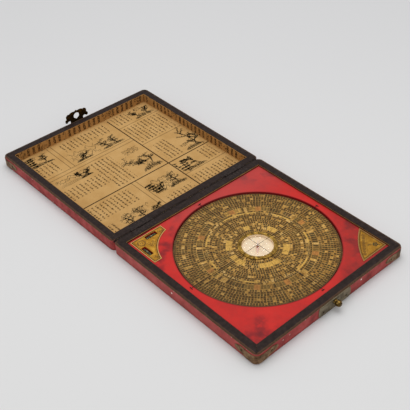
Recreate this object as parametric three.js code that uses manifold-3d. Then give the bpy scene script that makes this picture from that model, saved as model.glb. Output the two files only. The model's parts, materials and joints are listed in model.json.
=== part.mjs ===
// Feng shui compass in a hinged square box that lies open, flat on a table.
// Millimetres, +Z up. The origin is on the base's underside, below the needle's pivot.
// +X runs along the hinge, -Y points to the clasp, and the open lid lies towards +Y.

import * as THREE from 'three';
import { mergeVertices } from 'three/addons/utils/BufferGeometryUtils.js';
import Module from 'manifold-3d';

const wasm = await Module();
wasm.setup();

// Box halves: the base and the lid are the same shallow tray
const boxSize = 220; // each half's side, over its covering
const halfHeight = 14.8; // from each half's back to its rim
const rimWidth = 10; // covering and wall together
const cornerRadius = 6;
const boardThickness = 2.2;
const coverThickness = 0.6;
const coverBottom = 0.3; // the covering stops short of the table
const coverDrop = 0.8; // from the rim down to the covering's upper edge
const rimChamfer = 0.8;
const footChamfer = 0.6;
const mitreGap = 0.12; // hairline left open at each mitred corner
const glueGap = 0.1;
const seatGap = 0.05; // under the glass, the nail heads and the knob

// Earth plate: the red panel with its round well, on a bed board
const panelDrop = 2; // from the rim down to the panel
const panelThickness = 4.6;
const panelGap = 0.3; // to the walls
const wellMargin = 8.7; // panel left between the well and the panel's edge
const edgingThickness = 0.4;
const edgingDrop = 0.3; // from the rim down to the edging's top

// Dial that turns in the well
const dialGap = 1.4; // round the dial
const dialDrop = 1.4; // from the panel down to the dial's face
const dialChamfer = 0.4;
const bedGap = 0.3; // between the dial and its bed

// Compass in the middle of the dial
const cupRadius = 19;
const cupWall = 1.2;
const cupFloor = 3.6; // thick, as the dial turns on it
const cupDepth = 6.2; // below the dial's face
const cupGap = 0.2; // between the cup and the dial
const hubGap = 0.3; // between the cup and the bed board
const flangeReach = 1.6;
const flangeThickness = 0.5;
const glassThickness = 0.4;
const glassInset = 0.4;
const bezelWidth = 4.4;
const bezelWall = 0.9;
const bezelLip = 0.35;
const bezelGap = 0.1;
const cardThickness = 0.3;
const cardGap = 0.3;
const pivotRadius = 0.45;
const pivotHeight = 1.7; // from the cup's floor to the point
const needleLength = 25;
const needleWidth = 1.4;
const needleThickness = 0.35;
const needleTurn = -135; // degrees, where the needle happens to point
const needleCapRadius = 1.4;
const needleCapHeight = 1.5;
const needlePointGap = 0.15;

// Crosshair threads, stitched down through the panel outside the well
const threadRadius = 0.28;
const threadRise = 0.07; // above the panel
const threadCrossGap = 0.08;
const threadReach = 3; // from the well's edge to the stitch hole
const threadTail = 2.6; // how far the thread goes down its hole
const threadHoleGap = 0.3;
const threadBend = 0.7;

// Gilt corner plates on the panel
const giltThickness = 0.5;
const levelPlateInset = 2.8; // from the panel's edge
const levelPlateReach = 42;
const levelPlateEnd = 9.8; // length of its two short ends
const levelPlateHollow = 6.2; // depth of its curved side
const ornamentInsetRight = 0.8; // from the panel's edge
const ornamentInsetFront = 3.8;
const ornamentReach = 37.5;
const ornamentBulge = 3.5;

// Spirit levels, in slots through the level plate and the panel
const vialRadius = 2.3;
const vialLength = 14;
const vialGap = 0.5;
const vialAlongHinge = 24.3; // from the plate's tip along the hinge wall
const vialAlongLeft = 22.6; // from the plate's tip along the left wall
const vialInward = 5.6;

// Brass corner guards
const sheetThickness = 0.5;
const sheetGap = 0.15; // between a fitting and the covering
const guardReach = 29;
const guardFoot = 1;
const guardBendTop = 12;
const guardDip = 1.3; // of the upper edge, between the bend and the cusp
const guardCuspTop = 12.4;
const guardLobeTop = 12;
const guardLobeFoot = 3.6;
const guardLobeLength = 9;
const guardLiftReach = 12; // from here on the lower edge rises to the lobe's foot
const guardCuspReach = 17;
const guardNailReach = 20;
const guardNailHeight = 7.6;

// Nails
const nailShank = 0.5;
const nailHead = 1.1;
const nailDome = 0.55;
const nailLength = 3.2;
const nailGap = 0.15;

// Clasp plate and knob on the base's front
const claspWidth = 48;
const claspFoot = 0.8;
const claspTopDrop = 0.6; // below the rim
const claspCorner = 3.6; // radius of its four corners
const claspLipHeight = 0.8;
const claspLipRise = 0.4;
const claspNailInset = 7; // from the plate's ends
const claspNailHeight = 5.4;
const knobCollar = 3;
const knobWaist = 2.3;
const knobHead = 3.8; // its end tapers, so that the hasp swings over it
const knobLength = 8;
const knobTenon = 1.5;
const knobTenonLength = 4;

// Hasp on the lid's front wall
const haspThickness = 0.8;
const haspGap = 0.3; // to the clasp plate's lip when the lid is shut
const haspWidth = 34.4;
const haspRise = 14.2; // above the rim
const haspNeck = 19;
const haspHoleRadius = 4.2;
const haspHoleHeight = 5.9; // above the rim
const haspHoleTip = 5; // from the hole's middle to its point
const haspAxisDrop = 4.4; // below the rim
const haspKnuckle = 9;
const haspBarrel = 1.1;
const haspPin = 0.5;
const haspPlateWidth = 30;
const haspPlateFoot = 1.4;
const haspNailSpread = 21;
const haspNailHeight = 4.9;

// Hinges between the halves
const closedGap = 0.3; // between the rims when shut, and between the halves when open
const hingeInset = 40; // from the box's side to the middle of a hinge
const leafLength = 30;
const leafWidth = 8;
const leafThickness = 0.8;
const leafGap = 0.1;
const barrelRadius = 0.9;
const hingePin = 0.36;
const pinGap = 0.09;
const knuckleGap = 0.3;
const notchGap = 0.4;

// Places worked out from the sizes
const half = boxSize / 2;
const wallInner = half - rimWidth;
const wallOuter = half - coverThickness - glueGap;
const wallCorner = cornerRadius - coverThickness - glueGap;
const wallFoot = boardThickness + glueGap;
const coverTop = halfHeight - coverDrop;
const hingeAxisY = half + closedGap / 2;
const hingeAxisZ = halfHeight + closedGap / 2;
const panelHalf = wallInner - panelGap;
const panelTop = halfHeight - panelDrop;
const panelBottom = panelTop - panelThickness;
const bedTop = panelBottom - glueGap;
const wellRadius = panelHalf - wellMargin;
const dialRadius = wellRadius - dialGap;
const dialTop = panelTop - dialDrop;
const dialBottom = bedTop + bedGap;
const cupBottom = dialTop - cupDepth;
const cupInner = cupRadius - cupWall;
const flangeRadius = cupRadius + flangeReach;
const flangeTop = dialTop + flangeThickness;
const glassTop = flangeTop + seatGap + glassThickness;
const bezelRadius = cupInner - glassInset + bezelWidth;
const pivotTop = cupBottom + cupFloor + pivotHeight;
const fittingFace = half + sheetGap + sheetThickness; // outer face of every sheet fitting
const haspPlane = fittingFace + claspLipRise + haspGap + haspThickness / 2;
const haspAxisZ = halfHeight - haspAxisDrop;
const knobHeight = 2 * hingeAxisZ - (halfHeight + haspHoleHeight);
const threadHoleReach = wellRadius + threadReach;
const claspNailSpread = claspWidth - 2 * claspNailInset;
const levelCorner = panelHalf - levelPlateInset;

const quarter = Math.PI / 2;
const cornerSteps = 6; // round a quarter of a corner
const dialSteps = 96; // round the dial and its well
const compassSteps = 48;
const knobSteps = 20;
const rodSteps = 12;
const nailSteps = 8;
const skin = 1; // how far a cutter runs past the face that it cuts

// Shape and solid helpers

function weld(geometry) {
  const bare = geometry.clone();
  bare.deleteAttribute('normal');
  bare.deleteAttribute('uv');
  const merged = mergeVertices(bare, 1e-4);
  const kept = [];
  for (let i = 0; i < merged.index.count; i += 3) {
    const [a, b, c] = [0, 1, 2].map((k) => merged.index.getX(i + k));
    if (a !== b && b !== c && c !== a) kept.push(a, b, c);
  }
  merged.setIndex(kept);
  return merged;
}

function toSolid(geometry) {
  const welded = weld(geometry);
  return new wasm.Manifold(new wasm.Mesh({
    numProp: 3,
    vertProperties: new Float32Array(welded.attributes.position.array),
    triVerts: new Uint32Array(welded.index.array),
  }));
}

function toGeometry(solid) {
  const { vertProperties, triVerts } = solid.getMesh();
  const geometry = new THREE.BufferGeometry();
  geometry.setAttribute('position', new THREE.BufferAttribute(vertProperties, 3));
  geometry.setIndex(new THREE.BufferAttribute(triVerts, 1));
  return geometry;
}

function cut(body, ...tools) {
  return toGeometry(tools.reduce((solid, tool) => solid.subtract(toSolid(tool)), toSolid(body)));
}

function join(...bodies) {
  return toGeometry(bodies.map(toSolid).reduce((sum, solid) => sum.add(solid)));
}

function overlap(a, b) {
  return toGeometry(toSolid(a).intersect(toSolid(b)));
}

function block(x0, x1, y0, y1, z0, z1) {
  const box = new THREE.BoxGeometry(x1 - x0, y1 - y0, z1 - z0);
  return box.translate((x0 + x1) / 2, (y0 + y1) / 2, (z0 + z1) / 2);
}

function extrude(shape, z0, z1, curveSegments = rodSteps) {
  const options = { depth: z1 - z0, bevelEnabled: false, curveSegments };
  return new THREE.ExtrudeGeometry(shape, options).translate(0, 0, z0);
}

// A profile of [radius, height] pairs, turned about +Z
function turned(profile, steps) {
  const points = profile.map(([r, z]) => new THREE.Vector2(r, z));
  return new THREE.LatheGeometry(points, steps).rotateX(quarter);
}

function disc(radius, z0, z1, steps) {
  return turned([[0, z0], [radius, z0], [radius, z1], [0, z1]], steps);
}

// A shape drawn in X and Z, given its thickness outwards from the front face at -y
function frontSheet(shape, y, thickness) {
  return extrude(shape, y, y + thickness).rotateX(quarter);
}

function rodAlongX(radius, x0, x1, y, z) {
  const rod = new THREE.CylinderGeometry(radius, radius, x1 - x0, rodSteps);
  return rod.rotateZ(quarter).translate((x0 + x1) / 2, y, z);
}

function squareRing(halfSide, radius) {
  const ring = [];
  for (let corner = 0; corner < 4; corner += 1) {
    const middle = (corner + 0.5) * quarter;
    const reach = (halfSide - radius) * Math.SQRT2;
    for (let step = 0; step <= cornerSteps; step += 1) {
      const angle = corner * quarter + (step / cornerSteps) * quarter;
      ring.push([
        reach * Math.cos(middle) + radius * Math.cos(angle),
        reach * Math.sin(middle) + radius * Math.sin(angle),
      ]);
    }
  }
  return ring;
}

// A solid through round-cornered squares, each [half side, corner radius, height]
function squareLoft(sections) {
  const rings = sections.map(([halfSide, radius]) => squareRing(halfSide, radius));
  const count = rings[0].length;
  const positions = rings.flatMap((ring, i) => ring.flatMap(([x, y]) => [x, y, sections[i][2]]));
  const index = [];
  for (let level = 0; level + 1 < rings.length; level += 1) {
    for (let i = 0; i < count; i += 1) {
      const [a, b] = [level * count + i, level * count + ((i + 1) % count)];
      index.push(a, b, b + count, a, b + count, a + count);
    }
  }
  const top = (rings.length - 1) * count;
  for (let i = 1; i + 1 < count; i += 1) {
    index.push(0, i + 1, i, top, top + i, top + i + 1);
  }
  const geometry = new THREE.BufferGeometry();
  geometry.setAttribute('position', new THREE.Float32BufferAttribute(positions, 3));
  geometry.setIndex(index);
  return geometry;
}

// The full outline from its right half, listed from the bottom middle to the top middle
function mirroredShape(rightHalf) {
  const right = rightHalf.getPoints(6);
  const left = right.slice(1, -1).reverse().map((p) => new THREE.Vector2(-p.x, p.y));
  return new THREE.Shape([...right, ...left]);
}

function standard(color, roughness, metalness) {
  return new THREE.MeshStandardMaterial({ color, roughness, metalness });
}

const finishes = {
  covering: () => standard(0x8c3a36, 0.6, 0),
  board: () => standard(0x7d322e, 0.65, 0),
  rim: () => standard(0x2f2b29, 0.55, 0),
  wood: () => standard(0x9a7850, 0.75, 0),
  redPanel: () => standard(0xc6302c, 0.5, 0),
  paper: () => standard(0xcda569, 0.85, 0),
  dialFace: () => standard(0x94764a, 0.6, 0),
  gilt: () => standard(0xc79a3c, 0.4, 0.6),
  brass: () => standard(0xa88a45, 0.35, 0.9),
  agedBrass: () => standard(0x776c4c, 0.5, 0.8),
  bronze: () => standard(0x2e2416, 0.5, 0.8),
  white: () => standard(0xf0e3c8, 0.7, 0),
  glass: () => Object.assign(standard(0xf4f8f6, 0.05, 0), { transparent: true, opacity: 0.3 }),
  vialGlass: () => Object.assign(standard(0x8fa65a, 0.08, 0), { transparent: true, opacity: 0.6 }),
  thread: () => standard(0x3a2320, 0.8, 0),
  needle: () => standard(0xb64a44, 0.4, 0.3),
};

function addPiece(group, name, geometry, finish) {
  const piece = new THREE.Mesh(weld(geometry), finishes[finish]());
  piece.name = name;
  group.add(piece);
  return piece;
}

// Nails, and the holes that take them

function nailGeometry() {
  const dome = [0.25, 0.5, 0.75].map((t) => [
    nailHead * Math.cos(t * quarter),
    seatGap + nailDome * Math.sin(t * quarter),
  ]);
  return turned([
    [0, -nailLength], [nailShank, nailShank - nailLength], [nailShank, seatGap],
    [nailHead, seatGap], ...dome, [0, seatGap + nailDome],
  ], nailSteps);
}

// A drill along +Z, its mouth past the face at height 0
function drill(radius, depth) {
  return disc(radius, -depth, skin, nailSteps);
}

// Points an object made along +Z outwards from a spot on the box
function aim(geometry, { at, outward }) {
  const turn = new THREE.Quaternion().setFromUnitVectors(new THREE.Vector3(0, 0, 1), outward);
  return geometry.applyQuaternion(turn).translate(at.x, at.y, at.z);
}

function nailDrill(spot) {
  return aim(drill(nailShank + nailGap, nailLength + nailGap), spot);
}

const front = new THREE.Vector3(0, -1, 0);

function frontSpots(spread, height) {
  return [-1, 1].map((side) => ({
    at: new THREE.Vector3((side * spread) / 2, -fittingFace, height),
    outward: front.clone(),
  }));
}

// The nails of the corner guard at the +X +Y corner, turned to another corner
function guardSpots(turn) {
  const along = half - guardNailReach;
  const spots = [
    { at: new THREE.Vector3(fittingFace, along, guardNailHeight), outward: new THREE.Vector3(1, 0, 0) },
    { at: new THREE.Vector3(along, fittingFace, guardNailHeight), outward: new THREE.Vector3(0, 1, 0) },
  ];
  const up = new THREE.Vector3(0, 0, 1);
  spots.forEach((spot) => Object.values(spot).forEach((v) => v.applyAxisAngle(up, turn)));
  return spots;
}

function addNails(group, name, spots) {
  spots.forEach((spot, i) => {
    addPiece(group, `${name}_${i + 1}`, aim(nailGeometry(), spot), 'agedBrass');
  });
}

// Half box: board, four mitred walls and the covering round them

const hingeCentres = [hingeInset - half, half - hingeInset];
const guardTurns = [Math.PI, -quarter];

function hingeCutters() {
  const reach = leafLength / 2 + leafGap;
  return hingeCentres.flatMap((x) => [
    rodAlongX(barrelRadius + notchGap, x - reach, x + reach, hingeAxisY, hingeAxisZ),
    block(x - reach, x + reach, hingeAxisY - leafWidth - leafGap, half + skin,
      halfHeight - leafThickness - leafGap, halfHeight + skin),
  ]);
}

function rimFrame() {
  const outer = squareLoft([
    [wallOuter, wallCorner, wallFoot],
    [wallOuter, wallCorner, halfHeight - rimChamfer],
    [wallOuter - rimChamfer, wallCorner - rimChamfer, halfHeight],
  ]);
  const hollow = block(-wallInner, wallInner, -wallInner, wallInner, 0, halfHeight + skin);
  return cut(outer, hollow);
}

// The wedge of the frame that becomes the front wall, between its two mitres
function mitreWedge() {
  const apex = -mitreGap * Math.SQRT1_2;
  const shape = new THREE.Shape();
  shape.moveTo(0, apex);
  shape.lineTo(-boxSize, apex - boxSize);
  shape.lineTo(boxSize, apex - boxSize);
  shape.closePath();
  return extrude(shape, 0, halfHeight + skin);
}

function addWalls(group, names, drills) {
  const frame = cut(rimFrame(), ...hingeCutters(), ...drills);
  names.walls.forEach((side, turns) => {
    const wedge = mitreWedge().rotateZ(turns * quarter);
    addPiece(group, `${names.half}_wall_${side}`, overlap(frame, wedge), 'rim');
  });
}

function addBoard(group, name) {
  addPiece(group, name, squareLoft([
    [wallOuter - footChamfer, wallCorner - footChamfer, 0],
    [wallOuter, wallCorner, footChamfer],
    [wallOuter, wallCorner, boardThickness],
  ]), 'board');
}

function addCovering(group, prefix, drills) {
  const outside = squareLoft([[half, cornerRadius, coverBottom], [half, cornerRadius, coverTop]]);
  const insideHalf = half - coverThickness;
  const insideCorner = cornerRadius - coverThickness;
  const inside = squareLoft([[insideHalf, insideCorner, 0], [insideHalf, insideCorner, halfHeight]]);
  const band = cut(outside, inside, ...hingeCutters(), ...drills);
  addPiece(group, `${prefix}_covering`, band, 'covering');
}

// Height of a guard's upper and lower edge at a distance from the box's corner
function guardEdges(reach) {
  const lobeMiddle = guardReach - guardLobeLength;
  const lobeHeight = (guardLobeTop + guardLobeFoot) / 2;
  const lobeRise = (guardLobeTop - guardLobeFoot) / 2;
  const bulge = (t) => lobeRise * Math.sqrt(Math.max(0, 1 - ((t - lobeMiddle) / guardLobeLength) ** 2));
  const rise = (reach - cornerRadius) / (guardCuspReach - cornerRadius);
  const top = reach <= guardCuspReach
    ? guardBendTop + (guardCuspTop - guardBendTop) * rise - 4 * guardDip * rise * (1 - rise)
    : lobeHeight + bulge(reach);
  const lift = THREE.MathUtils.smoothstep(reach, guardLiftReach, lobeMiddle);
  const bottom = reach <= lobeMiddle
    ? guardFoot + (guardLobeFoot - guardFoot) * lift
    : lobeHeight - bulge(reach);
  return { top, bottom };
}

// Stations along a guard: out from one arm's end, round the bend, to the other arm's end
function guardStations() {
  const armSteps = 14;
  const stations = [];
  const arm = (place) => {
    for (let step = 0; step <= armSteps; step += 1) {
      const t = step / armSteps;
      const reach = cornerRadius + (guardReach - cornerRadius) * (1 - (1 - t) ** 1.6) * 0.995;
      stations.push({ ...place(reach), ...guardEdges(reach) });
    }
  };
  const face = half + sheetGap;
  arm((reach) => ({ x: face, y: half - reach, nx: 1, ny: 0 }));
  stations.reverse();
  const centre = half - cornerRadius;
  const bend = cornerRadius + sheetGap;
  for (let step = 1; step < cornerSteps; step += 1) {
    const angle = (step / cornerSteps) * quarter;
    const [nx, ny] = [Math.cos(angle), Math.sin(angle)];
    const place = { x: centre + bend * nx, y: centre + bend * ny, nx, ny };
    stations.push({ ...place, ...guardEdges(cornerRadius) });
  }
  arm((reach) => ({ x: half - reach, y: face, nx: 0, ny: 1 }));
  return stations;
}

// Sheet bent along the stations, four corners to a station, closed at both ends
function bentSheet(stations, thickness) {
  const positions = stations.flatMap(({ x, y, nx, ny, top, bottom }) => [
    x, y, bottom,
    x + nx * thickness, y + ny * thickness, bottom,
    x + nx * thickness, y + ny * thickness, top,
    x, y, top,
  ]);
  const index = [0, 1, 2, 0, 2, 3];
  for (let i = 0; i + 1 < stations.length; i += 1) {
    for (let side = 0; side < 4; side += 1) {
      const [a, b] = [i * 4 + side, i * 4 + ((side + 1) % 4)];
      index.push(a, a + 4, b + 4, a, b + 4, b);
    }
  }
  const last = (stations.length - 1) * 4;
  index.push(last, last + 2, last + 1, last, last + 3, last + 2);
  const geometry = new THREE.BufferGeometry();
  geometry.setAttribute('position', new THREE.Float32BufferAttribute(positions, 3));
  geometry.setIndex(index);
  return geometry;
}

function addGuard(group, name, turn) {
  const spots = guardSpots(turn);
  const sheet = bentSheet(guardStations(), sheetThickness).rotateZ(turn);
  addPiece(group, name, cut(sheet, ...spots.map(nailDrill)), 'agedBrass');
  addNails(group, `${name}_nail`, spots);
}

function addHalf(group, names, frontDrills) {
  const guardDrills = guardTurns.flatMap((turn) => guardSpots(turn).map(nailDrill));
  const drills = [...guardDrills, ...frontDrills];
  addBoard(group, names.board);
  addWalls(group, names, drills);
  addCovering(group, names.half, drills);
  guardTurns.forEach((turn, i) => addGuard(group, `${names.half}_guard_${names.guards[i]}`, turn));
}

// Earth plate: bed board, red panel, edging, gilt plates, levels and threads

function roundedRectangle(x, y, lengthX, lengthY, r) {
  const [a, b] = [lengthX / 2, lengthY / 2];
  const shape = new THREE.Shape();
  shape.moveTo(x - a + r, y - b);
  shape.lineTo(x + a - r, y - b);
  shape.absarc(x + a - r, y - b + r, r, -quarter, 0);
  shape.lineTo(x + a, y + b - r);
  shape.absarc(x + a - r, y + b - r, r, 0, quarter);
  shape.lineTo(x - a + r, y + b);
  shape.absarc(x - a + r, y + b - r, r, quarter, 2 * quarter);
  shape.lineTo(x - a, y - b + r);
  shape.absarc(x - a + r, y - b + r, r, 2 * quarter, 3 * quarter);
  return shape;
}

const vialPlaces = [
  { name: 'level_vial_hinge_side', x: vialAlongHinge - levelCorner, y: levelCorner - vialInward, turn: 0 },
  { name: 'level_vial_left_side', x: vialInward - levelCorner, y: levelCorner - vialAlongLeft, turn: 1 },
];

function vialSlots() {
  const long = vialLength + 2 * vialGap;
  const wide = 2 * (vialRadius + vialGap);
  return vialPlaces.map(({ x, y, turn }) => {
    const [lengthX, lengthY] = turn ? [wide, long] : [long, wide];
    const slot = roundedRectangle(x, y, lengthX, lengthY, vialRadius / 2);
    return extrude(slot, 0, halfHeight, 4);
  });
}

const threadRuns = [
  { name: 'thread_left_right', turn: 0, z: panelTop + threadRise + threadRadius },
  { name: 'thread_front_back', turn: 1, z: panelTop + threadRise + 3 * threadRadius + threadCrossGap },
];

function stitchHoles() {
  return [0, 1, 2, 3].map((turns) => {
    const hole = disc(threadRadius + threadHoleGap, 0, halfHeight, nailSteps);
    return hole.translate(threadHoleReach, 0, 0).rotateZ(turns * quarter);
  });
}

function addEarthPlate(group) {
  const hub = disc(cupRadius + hubGap, 0, halfHeight, compassSteps);
  const bed = block(-panelHalf, panelHalf, -panelHalf, panelHalf, wallFoot, bedTop);
  addPiece(group, 'bed_board', cut(bed, hub), 'wood');
  const slab = block(-panelHalf, panelHalf, -panelHalf, panelHalf, panelBottom, panelTop);
  const well = disc(wellRadius, 0, halfHeight, dialSteps);
  addPiece(group, 'red_panel', cut(slab, well, ...vialSlots(), ...stitchHoles()), 'redPanel');
  const outer = wallInner - glueGap;
  const inner = outer - edgingThickness;
  const edging = block(-outer, outer, -outer, outer, panelTop + glueGap, halfHeight - edgingDrop);
  addPiece(group, 'panel_edging', cut(edging, block(-inner, inner, -inner, inner, 0, halfHeight)), 'gilt');
}

function addLevelPlate(group) {
  const edge = levelCorner - levelPlateReach;
  const horn = levelCorner - levelPlateEnd;
  const chord = (horn - edge) * Math.SQRT1_2;
  const radius = (chord ** 2 + levelPlateHollow ** 2) / (2 * levelPlateHollow);
  const middle = (edge + horn) / 2 - (radius - levelPlateHollow) * Math.SQRT1_2;
  const spread = Math.asin(chord / radius);
  const shape = new THREE.Shape();
  shape.moveTo(-levelCorner, levelCorner);
  shape.lineTo(-levelCorner, edge);
  shape.lineTo(-horn, edge);
  shape.absarc(-middle, middle, radius, 1.5 * quarter + spread, 1.5 * quarter - spread, true);
  shape.lineTo(-edge, levelCorner);
  const plate = extrude(shape, panelTop, panelTop + giltThickness);
  addPiece(group, 'level_plate', cut(plate, ...vialSlots()), 'gilt');
}

// Drawn from its tip in the front right corner
function addOrnamentPlate(group) {
  const chord = ornamentReach * Math.SQRT1_2;
  const radius = (chord ** 2 + ornamentBulge ** 2) / (2 * ornamentBulge);
  const middle = (radius - ornamentBulge) * Math.SQRT1_2 - ornamentReach / 2;
  const spread = Math.asin(chord / radius);
  const shape = new THREE.Shape();
  shape.moveTo(0, 0);
  shape.lineTo(0, ornamentReach);
  shape.absarc(middle, -middle, radius, 1.5 * quarter - spread, 1.5 * quarter + spread);
  const plate = extrude(shape, panelTop, panelTop + giltThickness);
  plate.translate(panelHalf - ornamentInsetRight, ornamentInsetFront - panelHalf, 0);
  addPiece(group, 'ornament_plate', plate, 'gilt');
}

function addVials(group) {
  const tip = vialRadius * 0.45;
  const profile = [[0, -vialLength / 2], [tip, -vialLength / 2]];
  [0.3, 0.65, 1].forEach((t) => profile.push([
    tip + (vialRadius - tip) * Math.sin(t * quarter),
    -vialLength / 2 + (vialRadius - tip) * (1 - Math.cos(t * quarter)),
  ]));
  const mirrored = profile.slice().reverse().map(([r, z]) => [r, -z]);
  vialPlaces.forEach(({ name, x, y, turn }) => {
    const vial = turned([...profile, ...mirrored], rodSteps).rotateY(quarter).rotateZ(turn * quarter);
    addPiece(group, name, vial.translate(x, y, bedTop + bedGap + vialRadius), 'vialGlass');
  });
}

// A thread's route: up its hole, over the panel's edge, across, and down the other hole
function threadPath(z) {
  const foot = panelTop - threadTail;
  const reach = threadHoleReach;
  const path = new THREE.CurvePath();
  const point = (x, height) => new THREE.Vector3(x, 0, height);
  path.add(new THREE.LineCurve3(point(-reach, foot), point(-reach, z - threadBend)));
  path.add(new THREE.QuadraticBezierCurve3(
    point(-reach, z - threadBend), point(-reach, z), point(threadBend - reach, z)));
  path.add(new THREE.LineCurve3(point(threadBend - reach, z), point(reach - threadBend, z)));
  path.add(new THREE.QuadraticBezierCurve3(
    point(reach - threadBend, z), point(reach, z), point(reach, z - threadBend)));
  path.add(new THREE.LineCurve3(point(reach, z - threadBend), point(reach, foot)));
  return path;
}

// A tube of eight sides through the path's points, each ring set square to the path
function threadTube(path) {
  const sides = 8;
  const bendSteps = 5;
  const places = path.curves.flatMap((curve, i) => {
    const steps = curve instanceof THREE.LineCurve3 ? 1 : bendSteps;
    const first = i === 0 ? 0 : 1;
    return Array.from({ length: steps + 1 - first }, (_, k) => ({
      at: curve.getPoint((k + first) / steps),
      along: curve.getTangent((k + first) / steps),
    }));
  });
  const sideways = new THREE.Vector3(0, 1, 0);
  const positions = places.flatMap(({ at, along }) => {
    const across = new THREE.Vector3().crossVectors(along, sideways);
    return Array.from({ length: sides }, (_, k) => {
      const angle = ((k + 0.5) / sides) * 4 * quarter;
      const offset = sideways.clone().multiplyScalar(Math.cos(angle) * threadRadius);
      return at.clone().add(offset).addScaledVector(across, Math.sin(angle) * threadRadius).toArray();
    }).flat();
  });
  const index = [];
  for (let ring = 0; ring + 1 < places.length; ring += 1) {
    for (let k = 0; k < sides; k += 1) {
      const [a, b] = [ring * sides + k, ring * sides + ((k + 1) % sides)];
      index.push(a, b, b + sides, a, b + sides, a + sides);
    }
  }
  const last = (places.length - 1) * sides;
  for (let k = 1; k + 1 < sides; k += 1) index.push(0, k + 1, k, last, last + k, last + k + 1);
  const geometry = new THREE.BufferGeometry();
  geometry.setAttribute('position', new THREE.Float32BufferAttribute(positions, 3));
  geometry.setIndex(index);
  return geometry;
}

function addThreads(group) {
  threadRuns.forEach(({ name, turn, z }) => {
    addPiece(group, name, threadTube(threadPath(z)).rotateZ(turn * quarter), 'thread');
  });
}

// Dial with the compass in its middle

function addDial(group) {
  const inner = cupRadius + cupGap;
  addPiece(group, 'dial_plate', turned([
    [inner, dialBottom], [dialRadius, dialBottom], [dialRadius, dialTop - dialChamfer],
    [dialRadius - dialChamfer, dialTop], [inner, dialTop], [inner, dialBottom],
  ], dialSteps), 'dialFace');
}

function addCup(group) {
  const floor = cupBottom + cupFloor;
  addPiece(group, 'compass_cup', turned([
    [0, cupBottom], [cupRadius, cupBottom], [cupRadius, dialTop], [flangeRadius, dialTop],
    [flangeRadius, flangeTop], [cupInner, flangeTop], [cupInner, floor], [0, floor],
  ], compassSteps), 'white');
  addPiece(group, 'compass_card', turned([
    [pivotRadius + cardGap, floor], [cupInner - cardGap, floor],
    [cupInner - cardGap, floor + cardThickness], [pivotRadius + cardGap, floor + cardThickness],
    [pivotRadius + cardGap, floor],
  ], compassSteps), 'white');
  addPiece(group, 'compass_pivot', turned([
    [0, floor], [pivotRadius, floor], [pivotRadius, floor + pivotHeight / 2], [0, pivotTop],
  ], rodSteps), 'brass');
}

function addGlassAndBezel(group) {
  const glassRadius = flangeRadius - glassInset;
  const glass = disc(glassRadius, flangeTop + seatGap, glassTop, compassSteps);
  addPiece(group, 'compass_glass', glass, 'glass');
  const under = glassTop + bezelGap;
  const top = under + bezelLip;
  const inner = bezelRadius - bezelWidth;
  const recess = bezelRadius - bezelWall;
  const groove = (inner + bezelRadius) / 2;
  const bead = bezelWidth / 4;
  addPiece(group, 'compass_bezel', turned([
    [recess, dialTop], [bezelRadius, dialTop], [bezelRadius, top - bezelLip],
    [bezelRadius - bead * 0.3, top - bezelLip * 0.3], [bezelRadius - bead, top],
    [groove + bead * 0.4, top - bezelLip * 0.25], [groove, under + bezelLip * 0.3],
    [groove - bead * 0.4, top - bezelLip * 0.25], [inner + bead, top],
    [inner + bead * 0.4, top - bezelLip * 0.2], [inner, under + bezelLip * 0.3],
    [inner, under], [recess, under], [recess, dialTop],
  ], compassSteps), 'brass');
}

// Needle and cap, made along X and turned to where the needle points
function addNeedle(group) {
  const bottom = pivotTop + needlePointGap - needleCapHeight / 2;
  const bore = needleCapRadius * 0.6;
  const shape = new THREE.Shape();
  shape.moveTo(-needleLength / 2, 0);
  shape.lineTo(0, -needleWidth / 2 - bore);
  shape.lineTo(needleLength / 2, 0);
  shape.lineTo(0, needleWidth / 2 + bore);
  const hole = disc(bore + needlePointGap, 0, halfHeight, rodSteps);
  const blade = cut(extrude(shape, bottom, bottom + needleThickness), hole);
  const turn = THREE.MathUtils.degToRad(needleTurn);
  addPiece(group, 'needle', blade.rotateZ(turn), 'needle');
  const shoulder = bottom + needleThickness + needlePointGap / 2;
  const top = bottom + needleCapHeight;
  addPiece(group, 'needle_cap', turned([
    [0, pivotTop + needlePointGap], [bore * 0.7, bottom - needlePointGap],
    [bore, bottom - needlePointGap], [bore, shoulder], [needleCapRadius, shoulder],
    [needleCapRadius * 0.92, shoulder + (top - shoulder) * 0.45],
    [needleCapRadius * 0.6, shoulder + (top - shoulder) * 0.85], [0, top],
  ], rodSteps), 'brass');
}

// Clasp: plate with a raised lip, and a turned knob riveted through it

const knobSpot = { at: new THREE.Vector3(0, -fittingFace, knobHeight), outward: front.clone() };

function knobDrill() {
  return aim(drill(knobTenon + nailGap, knobTenonLength + nailGap), knobSpot);
}

function addClasp(group) {
  const top = halfHeight - claspTopDrop;
  const spots = frontSpots(claspNailSpread, claspNailHeight);
  const height = top - claspFoot;
  const outline = roundedRectangle(0, claspFoot + height / 2, claspWidth, height, claspCorner);
  const plate = frontSheet(outline, half + sheetGap, sheetThickness);
  const lipReach = claspWidth / 2 - claspCorner;
  const lip = block(-lipReach, lipReach, -fittingFace - claspLipRise, -fittingFace + sheetThickness / 2,
    top - claspLipHeight, top);
  const body = cut(join(plate, lip), knobDrill(), ...spots.map(nailDrill));
  addPiece(group, 'clasp_plate', body, 'agedBrass');
  addNails(group, 'clasp_nail', spots);
}

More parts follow.
